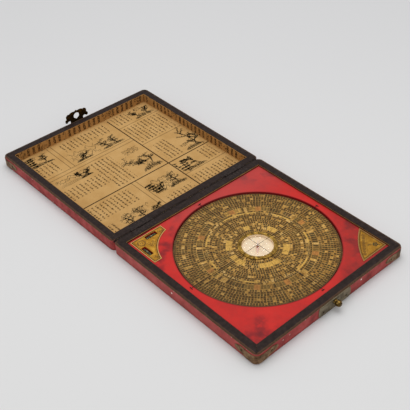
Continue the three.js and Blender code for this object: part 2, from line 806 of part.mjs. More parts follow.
function addKnob(group) {
  const profile = [
    [0, -knobTenonLength], [knobTenon, -knobTenonLength], [knobTenon, seatGap],
    [knobCollar, seatGap], [knobCollar, knobLength * 0.08], [knobWaist, knobLength * 0.13],
    [knobWaist, knobLength * 0.24], [knobHead * 0.92, knobLength * 0.3],
    [knobHead, knobLength * 0.38], [knobHead, knobLength * 0.5],
    [knobHead * 0.95, knobLength * 0.62], [knobHead * 0.85, knobLength * 0.77],
    [knobHead * 0.72, knobLength * 0.9], [knobHead * 0.5, knobLength * 0.98], [0, knobLength],
  ];
  addPiece(group, 'clasp_knob', aim(turned(profile, knobSteps), knobSpot), 'brass');
}

// Box hinges: each leaf lies in its rim, and its knuckles share one pin

function hingeKnuckles(lid) {
  const third = leafLength / 3;
  const inset = knuckleGap / 2;
  return lid
    ? [[-third / 2 + inset, third / 2 - inset]]
    : [[-leafLength / 2, -third / 2 - inset], [third / 2 + inset, leafLength / 2]];
}

// A leaf in its own half's frame, where the axis lies past the hinge wall
function hingeLeaf(x, lid) {
  const [z0, z1] = [halfHeight - leafThickness, halfHeight];
  const edge = hingeAxisY - barrelRadius - notchGap;
  const [x0, x1] = [x - leafLength / 2, x + leafLength / 2];
  const plate = block(x0, x1, hingeAxisY - leafWidth, edge, z0, z1);
  const knuckles = hingeKnuckles(lid).flatMap(([a, b]) => [
    block(x + a, x + b, edge - leafThickness, hingeAxisY, z0, z1),
    rodAlongX(barrelRadius, x + a, x + b, hingeAxisY, hingeAxisZ),
  ]);
  const bore = rodAlongX(hingePin + pinGap, x0 - skin, x1 + skin, hingeAxisY, hingeAxisZ);
  return cut(join(plate, ...knuckles), bore);
}

function addHingeLeaves(group, lid) {
  const sides = lid ? ['right', 'left'] : ['left', 'right'];
  hingeCentres.forEach((x, i) => {
    const name = `hinge_${sides[i]}_${lid ? 'lid' : 'base'}_leaf`;
    addPiece(group, name, hingeLeaf(x, lid), 'bronze');
  });
}

function addHingePins(group) {
  hingeCentres.forEach((x, i) => {
    const name = `hinge_${['left', 'right'][i]}_pin`;
    const [x0, x1] = [x - leafLength / 2, x + leafLength / 2];
    addPiece(group, name, rodAlongX(hingePin, x0, x1, hingeAxisY, hingeAxisZ), 'bronze');
  });
}

// Lid: printed lining, hasp plate, pin and hasp

function addLining(group) {
  const outer = wallInner - glueGap;
  const inner = outer - edgingThickness;
  const floor = wallFoot + edgingThickness;
  const tray = block(-outer, outer, -outer, outer, wallFoot, halfHeight - edgingDrop);
  addPiece(group, 'lid_lining', cut(tray, block(-inner, inner, -inner, inner, floor, halfHeight)), 'paper');
}

// A barrel on the hasp's axis, tied back to the plane that carries it
function haspBarrelPart(x0, x1) {
  return rodAlongX(haspBarrel, x0, x1, -haspPlane, haspAxisZ);
}

function haspBore() {
  return rodAlongX(haspPin + pinGap, -haspNeck, haspNeck, -haspPlane, haspAxisZ);
}

function haspPlateShape() {
  const [reach, top, foot] = [haspPlateWidth / 2, haspAxisZ, haspPlateFoot];
  const rise = top - foot;
  const right = new THREE.Path();
  right.moveTo(0, foot);
  right.quadraticCurveTo(reach * 0.3, foot, reach * 0.42, foot + rise * 0.14);
  right.quadraticCurveTo(reach * 0.7, foot, reach * 0.96, foot + rise * 0.3);
  right.quadraticCurveTo(reach, foot + rise * 0.6, reach * 0.8, foot + rise * 0.74);
  right.quadraticCurveTo(reach * 0.72, foot + rise * 0.8, haspNeck / 2, top);
  right.lineTo(0, top);
  return mirroredShape(right);
}

function addHaspPlate(group) {
  const spots = frontSpots(haspNailSpread, haspNailHeight);
  const plate = frontSheet(haspPlateShape(), half + sheetGap, sheetThickness);
  const inner = haspKnuckle / 2 + knuckleGap / 2;
  const knuckles = [[-haspNeck / 2, -inner], [inner, haspNeck / 2]].flatMap(([a, b]) => [
    haspBarrelPart(a, b),
    block(a, b, -haspPlane, -half - sheetGap, haspAxisZ - haspBarrel, haspAxisZ),
  ]);
  const body = cut(join(plate, ...knuckles), haspBore(), ...spots.map(nailDrill));
  addPiece(group, 'hasp_plate', body, 'bronze');
  addNails(group, 'hasp_plate_nail', spots);
  const pin = rodAlongX(haspPin, -haspNeck / 2, haspNeck / 2, -haspPlane, haspAxisZ);
  addPiece(group, 'hasp_pin', pin, 'bronze');
}

// The hasp's winged outline, from its tongue at the barrel to the spike at the top
function haspShape() {
  const [reach, rim, rise] = [haspWidth / 2, halfHeight, haspRise];
  const [tongue, neck] = [haspKnuckle / 2 - knuckleGap / 2, haspNeck / 2];
  const neckFoot = haspAxisZ + haspBarrel + notchGap;
  const right = new THREE.Path();
  right.moveTo(0, haspAxisZ);
  right.lineTo(tongue, haspAxisZ);
  right.lineTo(tongue, neckFoot);
  right.lineTo(neck, neckFoot);
  right.lineTo(neck, rim + rise * 0.02);
  right.quadraticCurveTo(reach * 0.6, rim + rise * 0.17, reach * 0.71, rim + rise * 0.12);
  right.quadraticCurveTo(reach * 0.8, rim + rise * 0.09, reach * 0.84, rim);
  right.quadraticCurveTo(reach * 1.02, rim - rise * 0.01, reach, rim + rise * 0.2);
  right.quadraticCurveTo(reach * 0.98, rim + rise * 0.35, reach * 0.87, rim + rise * 0.38);
  right.quadraticCurveTo(reach * 0.95, rim + rise * 0.63, reach * 0.83, rim + rise * 0.76);
  right.quadraticCurveTo(reach * 0.72, rim + rise * 0.88, reach * 0.6, rim + rise * 0.8);
  right.quadraticCurveTo(reach * 0.43, rim + rise * 0.97, reach * 0.2, rim + rise * 0.9);
  right.quadraticCurveTo(reach * 0.07, rim + rise * 0.88, 0, rim + rise);
  return mirroredShape(right);
}

// The hole's round upper part ends in a point towards the rim
function haspHole() {
  const middle = halfHeight + haspHoleHeight;
  const dip = Math.PI / 5;
  const hole = new THREE.Path();
  hole.absarc(0, middle, haspHoleRadius, -dip, Math.PI + dip);
  hole.quadraticCurveTo(-haspHoleRadius * 0.35, middle - haspHoleRadius * 0.85, 0, middle - haspHoleTip);
  hole.quadraticCurveTo(haspHoleRadius * 0.35, middle - haspHoleRadius * 0.85,
    haspHoleRadius * Math.cos(dip), middle - haspHoleRadius * Math.sin(dip));
  return hole;
}

function addHasp(group) {
  const shape = haspShape();
  shape.holes.push(haspHole());
  const sheet = frontSheet(shape, haspPlane - haspThickness / 2, haspThickness);
  const reach = haspKnuckle / 2 - knuckleGap / 2;
  addPiece(group, 'hasp', cut(join(sheet, haspBarrelPart(-reach, reach)), haspBore()), 'bronze');
}

// Assembly. Walls and guards are named by the side they lie on while the box is open

const baseNames = {
  half: 'base',
  board: 'base_bottom_board',
  walls: ['front', 'right', 'back', 'left'],
  guards: ['left', 'right'],
};

const lidNames = {
  half: 'lid',
  board: 'lid_board',
  walls: ['front', 'left', 'back', 'right'],
  guards: ['right', 'left'],
};

function buildBase() {
  const group = new THREE.Group();
  const drills = frontSpots(claspNailSpread, claspNailHeight).map(nailDrill);
  addHalf(group, baseNames, [...drills, knobDrill()]);
  addEarthPlate(group);
  addLevelPlate(group);
  addOrnamentPlate(group);
  addVials(group);
  addThreads(group);
  addClasp(group);
  addKnob(group);
  addHingeLeaves(group, false);
  addHingePins(group);
  return group;
}

function buildDial() {
  const group = new THREE.Group();
  addDial(group);
  addCup(group);
  addGlassAndBezel(group);
  addNeedle(group);
  return group;
}

// The lid is made as the base is, then turned half round to lie beyond the hinge
function buildLid() {
  const group = new THREE.Group();
  const drills = frontSpots(haspNailSpread, haspNailHeight).map(nailDrill);
  addHalf(group, lidNames, drills);
  addLining(group);
  addHingeLeaves(group, true);
  addHaspPlate(group);
  addHasp(group);
  group.rotation.z = Math.PI;
  group.position.y = 2 * hingeAxisY;
  return group;
}

const compass = new THREE.Group();
compass.add(buildBase(), buildDial(), buildLid());

export default compass;
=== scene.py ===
# %% [markdown]
# # A feng shui compass in its open box
# The box lies open and flat, like a book. The base holds a red panel with a printed dial that
# turns, and in the dial's middle a small magnetic compass under glass. The lid is a shallow
# tray with a printed paper lining. A measured model of every solid is loaded first, and this
# lesson gives those solids their finishes and adds the fine pieces on top of them.

# %% The measured model
import json
import math
import random
import bpy
import bmesh
from mathutils import Matrix, Vector

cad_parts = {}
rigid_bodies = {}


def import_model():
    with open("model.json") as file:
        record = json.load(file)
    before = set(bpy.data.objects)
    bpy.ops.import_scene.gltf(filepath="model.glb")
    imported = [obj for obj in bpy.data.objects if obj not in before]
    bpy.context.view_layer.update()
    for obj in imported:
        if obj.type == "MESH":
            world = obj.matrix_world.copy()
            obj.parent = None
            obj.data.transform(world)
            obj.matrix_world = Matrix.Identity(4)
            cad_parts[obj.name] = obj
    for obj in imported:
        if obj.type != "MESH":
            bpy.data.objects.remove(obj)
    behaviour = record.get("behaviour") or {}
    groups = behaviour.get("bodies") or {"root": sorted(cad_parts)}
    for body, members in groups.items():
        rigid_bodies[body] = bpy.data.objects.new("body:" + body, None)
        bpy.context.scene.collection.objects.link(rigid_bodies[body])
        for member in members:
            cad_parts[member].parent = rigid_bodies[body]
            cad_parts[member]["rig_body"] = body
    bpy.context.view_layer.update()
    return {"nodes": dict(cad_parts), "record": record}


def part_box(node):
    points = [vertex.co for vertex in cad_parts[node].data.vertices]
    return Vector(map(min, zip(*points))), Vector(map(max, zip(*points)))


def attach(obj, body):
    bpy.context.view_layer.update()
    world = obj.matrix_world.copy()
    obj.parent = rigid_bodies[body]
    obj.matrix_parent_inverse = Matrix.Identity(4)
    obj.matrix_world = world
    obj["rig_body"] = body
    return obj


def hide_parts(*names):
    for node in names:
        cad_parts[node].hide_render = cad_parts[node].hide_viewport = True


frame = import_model()
nodes = frame["nodes"]
mm = 0.001


# %% Sizes read from the solids
def corners(name):
    """The lowest and highest corner of one solid, in millimetres."""
    low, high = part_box(name)
    return low / mm, high / mm


half_side, _, covering_top = corners("base_covering")[1]
rim_outer = corners("base_wall_right")[1].x
rim_top = corners("base_wall_front")[1].z
wall_inner = corners("panel_edging")[1].x
panel_half, _, panel_top = corners("red_panel")[1]
plate_top = corners("level_plate")[1].z
dial_radius = corners("dial_plate")[1].x
well_radius = dial_radius + 1.4
lid_middle = (corners("lid_covering")[0].y + corners("lid_covering")[1].y) / 2
paper_thickness = 0.4
lining_floor = corners("lid_lining")[0].z + paper_thickness
lining_half = corners("lid_lining")[1].x - paper_thickness
print("half side", half_side, "rim top", rim_top, "dial radius", dial_radius, "lid middle", lid_middle)

# %% [markdown]
# ## The camera
# A camera is a place, a direction and a lens. These were fitted to the straight edges of the
# box, which is square, so the picture shows every edge where the real box has it. The shift
# moves the picture sideways without turning the camera, as on a view camera.

# %% Camera
picture_side, focal_length, shift_right, shift_up = 410, 838.4, -43.3, 2.5  # in pixels
view_turn, view_lift, view_distance = math.radians(-44.08), math.radians(39.75), 0.967
view_target = Vector((0.0471, 0.0631, 0))
view_back = Vector((
    math.sin(view_turn) * math.cos(view_lift),
    -math.cos(view_turn) * math.cos(view_lift),
    math.sin(view_lift),
))
lens = bpy.data.cameras.new("studio_camera")
lens.sensor_width = 36
lens.lens = focal_length / picture_side * lens.sensor_width
lens.shift_x, lens.shift_y = shift_right / picture_side, shift_up / picture_side
lens.clip_start, lens.clip_end = 0.05, 50
camera = bpy.data.objects.new("studio_camera", lens)
camera.location = view_target + view_back * view_distance
camera.rotation_mode = "QUATERNION"
camera.rotation_quaternion = (-view_back).to_track_quat("-Z", "Y")
bpy.context.scene.collection.objects.link(camera)
bpy.context.scene.camera = camera
print("camera at", [round(c, 3) for c in camera.location])

# %% [markdown]
# ## Mixing finishes with nodes
# A material is a small network of nodes. So that a finish reads like a recipe, a value that a
# node gives can be added, multiplied and compared here as a plain number is, and each step
# becomes one more node. A few helpers then lay colours over each other and ask for noise.


# %% Colours and nodes
def colour(code):
    """A colour code as on a web page, such as c8322d, in the linear values that Blender mixes."""
    parts = [int(code[i:i + 2], 16) / 255 for i in (0, 2, 4)]
    linear = [p / 12.92 if p <= 0.04045 else ((p + 0.055) / 1.055) ** 2.4 for p in parts]
    return (*linear, 1.0)


def plug(socket, value):
    """Links a value to a socket, or writes a plain number or a colour code on it."""
    if isinstance(value, Value):
        value.tree.links.new(value.socket, socket)
    else:
        socket.default_value = colour(value) if isinstance(value, str) else value


def added(tree, kind, inputs, output=0, **settings):
    """Adds a node with its settings and its inputs, by name or number, and gives one output."""
    node = tree.nodes.new("ShaderNode" + kind)
    for title, setting in settings.items():
        setattr(node, title, setting)
    for title, value in inputs.items():
        plug(node.inputs[title], value)
    return Value(tree, node.outputs[output])


# %% Arithmetic with values
class Value:
    """What a node gives. Arithmetic on it adds more nodes to its tree."""

    def __init__(self, tree, socket):
        self.tree, self.socket = tree, socket

    def worked(self, operation, *values, clamp=False):
        numbered = dict(enumerate(values))
        return added(self.tree, "Math", numbered, operation=operation, use_clamp=clamp)

    def __add__(self, other):
        return self.worked("ADD", self, other)

    def __sub__(self, other):
        return self.worked("SUBTRACT", self, other)

    def __rsub__(self, other):
        return self.worked("SUBTRACT", other, self)

    def __mul__(self, other):
        return self.worked("MULTIPLY", self, other)

    def __truediv__(self, other):
        return self.worked("DIVIDE", self, other)

    def __rtruediv__(self, other):
        return self.worked("DIVIDE", other, self)

    def __abs__(self):
        return self.worked("ABSOLUTE", self)

    def above(self, limit):
        return self.worked("GREATER_THAN", self, limit)

    def below(self, limit):
        return self.worked("LESS_THAN", self, limit)

    def whole(self):
        return self.worked("FLOOR", self)

    def fraction(self):
        return self.worked("FRACT", self)

    def clamped(self):
        return self.worked("ADD", self, 0.0, clamp=True)


def product(first, *others):
    for other in others:
        first = first * other
    return first


def largest(first, *others):
    for other in others:
        first = first.worked("MAXIMUM", first, other)
    return first


def smallest(first, *others):
    for other in others:
        first = first.worked("MINIMUM", first, other)
    return first


# %% Masks and mixes
def between(value, start, end, low=0.0, high=1.0):
    """Runs smoothly from low to high as a value goes from start to end."""
    numbered = dict(enumerate((value, start, end, low, high)))
    return added(value.tree, "MapRange", numbered, interpolation_type="SMOOTHSTEP")


def laid_over(mask, under, over):
    return added(mask.tree, "Mix", {0: mask, 6: under, 7: over}, 2, data_type="RGBA")


def layered(ground, *layers):
    """Lays colours over a ground in turn, each with the masks that say where and how much."""
    for paint, *masks in layers:
        ground = laid_over(product(*masks), ground, paint)
    return ground


def steps_of_colour(value, *stops, how="LINEAR"):
    """Turns a value into colours by a ramp of stops, each a position and a colour."""
    node = value.tree.nodes.new("ShaderNodeValToRGB")
    node.color_ramp.interpolation = how
    elements = node.color_ramp.elements
    elements.remove(elements[1])
    for number, (position, shade) in enumerate(stops):
        stop = elements[0] if number == 0 else elements.new(position)
        stop.position = position
        stop.color = colour(shade) if isinstance(shade, str) else (*shade, 1)
    plug(node.inputs[0], value)
    return Value(value.tree, node.outputs[0])


# %% Places and noise
def split(vector):
    """The three parts of a place or a colour."""
    node = vector.tree.nodes.new("ShaderNodeSeparateXYZ")
    plug(node.inputs[0], vector)
    return [Value(vector.tree, output) for output in node.outputs]


def joined(x, y=0.0, z=0.0):
    return added(x.tree, "CombineXYZ", {0: x, 1: y, 2: z})


def from_middle(x, y):
    return added(x.tree, "VectorMath", {0: joined(x, y)}, "Value", operation="LENGTH")


def distance_to(place, spot):
    return added(place.tree, "VectorMath", {0: place, 1: spot}, "Value", operation="DISTANCE")


def stretched(place, scale, offset=(0, 0, 0)):
    return added(place.tree, "Mapping", {"Vector": place, "Scale": scale, "Location": offset})


def dice(place):
    """Three chance values between 0 and 1 for each place."""
    return split(added(place.tree, "TexWhiteNoise", {"Vector": place}, "Color"))


def cloudy(place, size, detail=3.0, roughness=0.55):
    """Noise between 0 and 1 whose patches are about that many millimetres wide."""
    inputs = {"Vector": place, "Scale": 1 / size, "Detail": detail, "Roughness": roughness}
    return added(place.tree, "TexNoise", inputs)


# %% Starting and ending a finish
finishes = {}


def new_finish(name, roughness=0.5, specular=0.5, metallic=0.0, **settings):
    """Starts a material and gives the places on its piece, in millimetres."""
    finishes[name] = bpy.data.materials.new(name)
    finishes[name].use_nodes = True
    tree = finishes[name].node_tree
    settings.update(Roughness=roughness, Specular_IOR_Level=specular, Metallic=metallic)
    for title, value in settings.items():
        plug(tree.nodes["Principled BSDF"].inputs[title.replace("_", " ")], value)
    own_place = added(tree, "TexCoord", {}, "Object")
    return added(tree, "VectorMath", {0: own_place, "Scale": 1 / mm}, operation="SCALE")


def dress(name, paint, roughness=None, relief=None, depth=0.0):
    """Ends a material with its colour, its roughness and its relief, as deep as depth."""
    tree = finishes[name].node_tree
    shader = tree.nodes["Principled BSDF"]
    plug(shader.inputs["Base Color"], paint)
    if roughness is not None:
        plug(shader.inputs["Roughness"], roughness)
    if relief is not None:
        bump = added(tree, "Bump", {"Distance": depth * mm, "Height": relief})
        plug(shader.inputs["Normal"], bump)
    print(name + ":", len(tree.nodes), "nodes")


# %% [markdown]
# ## Shared effects
# Old boxes show the same few things everywhere: cloudy patches where hands have darkened the
# finish, paint rubbed off along edges, and fine grain. Each is one group with its own sizes,
# so that the covering, the rims and the brass can all use it with different values.

# %% Starting, ending and using an effect
def new_effect(name, output, **inputs):
    """Starts a node group with named sockets and gives its inputs as values."""
    tree = bpy.data.node_groups.new(name, "ShaderNodeTree")
    for title, kind in inputs.items():
        tree.interface.new_socket(name=title, in_out="INPUT", socket_type="NodeSocket" + kind)
    tree.interface.new_socket(name=output, in_out="OUTPUT", socket_type="NodeSocketFloat")
    given = tree.nodes.new("NodeGroupInput").outputs
    return tree, [Value(tree, given[title]) for title in inputs]


def give(tree, result):
    """Ends a node group with what it gives."""
    plug(tree.nodes.new("NodeGroupOutput").inputs[0], result)
    print("effect:", tree.name)


def effect(group, *values):
    """Uses a group, with values for its inputs in their order."""
    return added(values[0].tree, "Group", dict(enumerate(values)), node_tree=group)


# %% Patches
patches, (place, size, contrast) = new_effect(
    "patches", "Value", Place="Vector", Size="Float", Contrast="Float")
give(patches, ((cloudy(place, size, 5, 0.6) - 0.5) * contrast + 0.5).clamped())

# %% Rubbed edges
rubbed, (place, distance, reach, size, amount) = new_effect(
    "rubbed edges", "Mask",
    Place="Vector", Distance="Float", Reach="Float", Size="Float", Amount="Float")
nearness = (1.0 - distance / reach).clamped()
worn = nearness * amount + cloudy(place, size, 4, 0.65)
give(rubbed, between(worn, 0.98, 1.06) * between(nearness, 0.0, 0.08))

# %% Pebbled grain
pebbles, (place, size) = new_effect("pebbled grain", "Height", Place="Vector", Size="Float")
cells = added(pebbles, "TexVoronoi", {"Vector": place, "Scale": 1 / size}, "Distance", feature="SMOOTH_F1")
give(pebbles, cloudy(place, size) * 0.4 + (1.0 - cells))

# %% [markdown]
# ## Printed marks
# The dial and the lid's paper are covered with small printed characters. They are too small to
# read, so each cell gets a made-up mark of a few level and upright strokes. White noise, asked
# once for each cell and row, says which strokes a mark has and how far they run.


# %% Strokes in a cell
def strokes(along, across, cell, count, thickness, chance, seed):
    """Stripes along a cell, each there by chance and with its own two ends."""
    row = across * count
    cell_x, cell_y, _ = split(cell)
    first, second, third = dice(joined(cell_x, cell_y, row.whole() + seed))
    return product(
        abs(row.fraction() - 0.5).below(thickness / 2),
        along.above(first * 0.34 + 0.08),
        along.below(second * -0.34 + 0.92),
        third.above(chance))


# %% Printed marks
printed_marks, (across, up) = new_effect("printed marks", "Ink", Across="Float", Up="Float")
cell = joined(across.whole(), up.whole())
across, up = across.fraction(), up.fraction()
level = strokes(across, up, cell, 3, 0.62, 0.2, 3.0)
upright = strokes(up, across, cell, 2, 0.56, 0.25, 31.0)
clear_edge = abs(up - 0.5).below(0.39) * abs(across - 0.5).below(0.38)
give(printed_marks, largest(level, upright) * clear_edge)

# %% Ruled area
ruled_area, given = new_effect("ruled area", "Mask", Place="Vector", Middle="Vector", Reach="Vector")
sides = zip(*[split(vector) for vector in given])
give(ruled_area, product(*[abs(place - middle).below(reach) for place, middle, reach in sides]))

# %% [markdown]
# ## The box: red covering and dark rims
# Leathercloth is glued round each half, and its raw upper edge shows as a thin brown line
# under the black stained rim. Where the halves touch at the hinge only shade shows, so the
# covering ends there in a dark strip of painted shade. Years of handling have chipped both along their
# edges.
# Where a mark sits is worked out from how far a point is from the middle of its half.

# %% Torn spots in the covering
deep_chips = [(-110, 12.5, 8.2), (41, -110, 11)]
nicks = [
    (-110, 9, 13.8), (-110, -76, 13.6), (-110, -97, 14), (-110, -107, 12.9),
    (-65, -110, 9.7), (-74, -110, 8.9), (-37, -110, 14), (-43, -110, 13.8),
    (-110, 267, 12.5), (-110, 215, 13.8), (-110, 226, 2.3),
]


def torn_spots(place, spots, size):
    """Small torn spots of a size in millimetres, ragged by noise."""
    ragged = cloudy(place, 1.1) * size
    return largest(*[(distance_to(place, spot) + ragged).below(size * 1.15) for spot in spots])


# %% Red covering
place = new_finish("red_covering", roughness=0.55, specular=0.2)
x, y, height = split(place)
shade = effect(patches, place, 14.0, 2.2)
grain = effect(pebbles, place, 0.55)
from_top = covering_top - height
off_hinge = between(abs(y - half_side), 1.0, 3.0)
rubbed_bare = effect(rubbed, place, smallest(from_top, height - 0.3), 1.6, 2.2, 0.52)
rubbed_bare = rubbed_bare * between(cloudy(place, 17.0, 2), 0.42, 0.6, 0.15, 1.0)
chipped = torn_spots(place, deep_chips, 1.6)
bare = largest(rubbed_bare, chipped, torn_spots(place, nicks, 1.25))
cloth = layered(
    steps_of_colour(shade, (0.0, "752e2b"), (0.45, "a03d3a"), (1.0, "b84e4a")),
    ("4f2322", between(height + cloudy(place, 9) * 5.0, 6.5, 1.5), 0.55),  # darker towards the table
    ("c9a096", bare),
    # painted light: the base's outer left wall is lightened as if lit more
    ("c4635a", between(x, -104.0, -109.0), between(y, 112.0, 106.0), 0.24),  # painted light on the left side
    ("f3e6dc", chipped),
    ("241a17", 1.0 - off_hinge, between(from_top, 3.2, 2.4)),  # painted shade where the halves meet at the hinge
    ("4d3d25", off_hinge, between(from_top, 0.12, 0.02)))  # raw upper edge
dress("red_covering", cloth, between(shade, 0.2, 0.9, 0.62, 0.46), grain + bare * -2.0, 0.06)

# %% Board under the covering
place = new_finish("covered_board", roughness=0.62, specular=0.2)
scuffs = cloudy(stretched(place, (0.02, 0.5, 1)), 1.5, 4)
board = layered(
    steps_of_colour(effect(patches, place, 22.0, 1.8), (0.1, "5c2a28"), (0.9, "7d3835")),
    ("a06a62", between(scuffs, 0.62, 0.7), 0.5))
dress("covered_board", board, relief=effect(pebbles, place, 0.55), depth=0.06)

# %% Dark rim
place = new_finish("dark_rim", roughness=0.5, specular=0.1)
x, y, height = split(place)
across_x, across_y = abs(x), abs(y - y.above(half_side + 0.15) * lid_middle)
from_side = rim_outer - largest(across_x, across_y)
to_corner = 2 * rim_outer - (across_x + across_y)
off_hinge = between(abs(y - half_side), 3.0, 4.0)
chamfer = between(rim_top - height, 0.15, 0.5) * between(from_side, 1.0, 0.5)
wandering = from_side - cloudy(place, 5, 4) * 1.6
shade = effect(patches, place, 5.0, 2.0)
brushing = cloudy(stretched(place, (1, 1, 0.1)), 0.9, 4)
handled = effect(rubbed, place, to_corner, 15.0, 4.0, 0.75)
worn_side = effect(rubbed, place, from_side, 1.5, 1.6, 0.48)
split_mitre = effect(rubbed, place, abs(across_x - across_y), 0.9, 0.9, 0.55)
wood = layered(
    steps_of_colour(shade, (0.0, "221917"), (0.5, "2b201d"), (1.0, "372a26")),
    ("40342d", between(brushing, 0.5, 0.75), 0.3),
    ("4a3c26", off_hinge, chamfer, cloudy(place, 14), 1.3),
    ("5d4434", off_hinge, between(wandering, 1.1, 0.3), 0.75),  # stain rubbed thin at the side
    ("5f3f2f", handled, between(from_side, 2.6, 0.8)),
    ("86714c", worn_side, 0.8),
    ("94805f", split_mitre, 0.6))
dress("dark_rim", wood, between(shade, 0.1, 0.9, 0.6, 0.42), brushing + shade, 0.05)

# %% [markdown]
# ## The earth plate: red lacquer, bare bed and tan edging
# The panel is bright red lacquer on board. It has darkened in blots round the brass plates
# and in the corners, where polish and dust gather. Painted shade darkens the gap at its edge
# and the ring round the dial, and patches of painted shade and a painted reflection lie over
# it. The bed board under it stays bare wood.

# %% Red lacquer
place = new_finish("red_lacquer", roughness=0.42, specular=0.12, Coat_Weight=0.02, Coat_Roughness=0.3)
x, y, _ = split(place)
shade = effect(patches, place, 26.0, 1.9)
dusty = effect(patches, stretched(place, (1, 1, 1), (40, 0, 0)), 5.0, 1.5)
near_plates = between(abs(x - y), 116.0, 140.0)
other_corners = between(abs(x + y), 140.0, 172.0)
near_corner = between(abs(x - y - 4.0), 10.0, 4.0) * between(x + y, -138.0, -156.0)
blots = between(cloudy(place, 17, 2, 0.5), 0.44, 0.66)
smeared = between(cloudy(stretched(place, (1, 0.5, 1)), 3.5, 4, 0.6), 0.3, 0.6, 0.55, 1.0)
# painted shade at the panel's edge beside the rims, weaker on the right side
panel_edge_shade = between(largest(abs(x), abs(y)), panel_half - 1.4, panel_half - 0.4, 0.0, 0.8)
lacquer = layered(
    steps_of_colour(shade, (0.0, "b02a28"), (0.45, "c92b26"), (1.0, "d52f29")),
    ("a8443e", between(dusty, 0.45, 0.9), 0.2),
    ("6e2026", largest(near_plates, other_corners * 0.9), blots, smeared, 0.8),
    ("9c5f5c", between(y, 30.0, 95.0), between(x, -80.0, -10.0), 0.3),  # painted reflection, a pale haze beside the hinge
    # painted shade: darker in patches towards the ornament plate's corner
    ("83302a", between(x - y, 100.0, 150.0), between(dusty, 0.1, 0.6, 0.4, 1.0), 0.55),
    ("6b2427", near_corner, between(dusty, 0.15, 0.5), smeared, 0.55),
    ("571013", between(from_middle(x, y), well_radius + 1.5, well_radius), 0.6),  # painted shade round the dial
    ("4a0f14", panel_edge_shade, between(x, panel_half - 1.1, panel_half - 2.1, 0.4, 1.0)))
dress("red_lacquer", lacquer, between(dusty, 0.2, 0.9, 0.38, 0.55), cloudy(place, 3.0, 4), 0.05)

# %% Bare wood
place = new_finish("bare_wood", roughness=0.75, specular=0.2)
bands = cloudy(stretched(place, (0.05, 1, 1)), 2.2, 5, 0.6)
board = steps_of_colour(bands, (0.3, "7b5c38"), (0.55, "9f7c50"), (0.75, "b39362"))
dress("bare_wood", board, relief=bands, depth=0.08)

# %% Tan edging
place = new_finish("gilt_edging", roughness=0.6, specular=0.15)
x, y, z = split(place)
shade = effect(patches, place, 9.0, 1.4)
strip = layered(
    steps_of_colour(shade, (0.1, "75552e"), (0.5, "94713d"), (0.95, "b08b52")),
    ("5a2018", between(z, panel_top + 1.3, panel_top + 1.05), 0.9),  # red light from the panel
    ("58391f", between(x, 99.0, 99.6), 0.5),
    ("2c1a18", 1.0 - largest(x, y).above(wall_inner - 0.6)))  # painted shade on the two near sides
dress("gilt_edging", strip, relief=cloudy(place, 0.8), depth=0.04)

# %% [markdown]
# ## Gilt plates
# The two corner plates are thin gilt sheet with stamped borders. The border lines follow the
# plate's outline, so the material works out how far each point is from the nearest edge, and
# draws the lines at set distances. The ornament plate has a border like a rope.

# %% Distance from a plate's edges
level_end, level_hollow, ornament_bulge = 9.8, 6.2, 3.5


def bowed_side(side, bow):
    """Radius of an arc over a corner's two ends, and its middle's step in from them."""
    chord = side * math.sqrt(0.5)
    radius = (chord ** 2 + bow ** 2) / (2 * bow)
    return radius, (radius - bow) * math.sqrt(0.5)


def inside_level_plate(x, y):
    """How far a point is inside the level plate, whose long side is hollow."""
    low, high = corners("level_plate")
    radius, step = bowed_side(high.x - low.x - level_end, level_hollow)
    middle = (high.x + low.x + level_end) / 2 + step
    from_hollow = distance_to(joined(x, y), (middle, -middle, 0)) - radius
    return smallest(x - low.x, high.y - y, high.x - x, y - low.y, from_hollow)


def inside_ornament_plate(x, y):
    """How far a point is inside the ornament plate, whose long side bulges."""
    low, high = corners("ornament_plate")
    side = high.y - low.y
    radius, step = bowed_side(side, ornament_bulge)
    middle = (high.x - side / 2 + step, low.y + side / 2 - step, 0)
    return smallest(high.x - x, y - low.y, radius - distance_to(joined(x, y), middle))


# %% Gilt
def line_at(distance, middle, width):
    return between(abs(distance - middle), width / 2 + 0.08, width / 2 - 0.08)


place = new_finish("gilt", roughness=0.45, specular=0.15, metallic=0.3)
x, y, _ = split(place)
shade = effect(patches, place, 7.0, 2.2)
on_level = y.above(0.0)
on_ornament = 1.0 - on_level
inside = laid_over(on_level, inside_ornament_plate(x, y), inside_level_plate(x, y))
pale_rim = line_at(inside, 0.5, 0.9)
slanting = between(x.worked("SINE", (x + y) * 3.3), -0.3, 0.3)
dark_line = largest(line_at(inside, 1.5, 0.8) * on_level, line_at(inside, 2.2, 0.5) * on_ornament)
inner_line = line_at(inside, 2.9, 0.3) * on_level
sheet = layered(
    steps_of_colour(shade, (0.0, "8e6317"), (0.5, "b98424"), (1.0, "dba63f")),
    ("785415", between(cloudy(place, 4.0, 4), 0.52, 0.72), 0.35),  # tarnish
    ("5e3c10", on_ornament, 0.28),
    ("dcae72", pale_rim, 0.7),
    ("35220f", slanting, between(inside, 1.9, 1.7), on_ornament, 0.85),  # the rope's turns
    ("3c2610", dark_line),
    ("63461a", inner_line, 0.65))
stamped = pale_rim - largest(dark_line, inner_line)
dress("gilt", sheet, between(shade, 0.1, 0.9, 0.52, 0.4), stamped, 0.12)

# %% [markdown]
# ## The printed dial
# The dial is a stack of rings, and each ring is cut into equal cells with a mark in each. In
# a material this is polar graph paper: the distance from the middle picks the ring, and the
# angle picks the cell. A ramp turns distance into a ring number, and a second ramp, read in
# the middle of each ring, gives that ring its number of cells and marks and its tone.

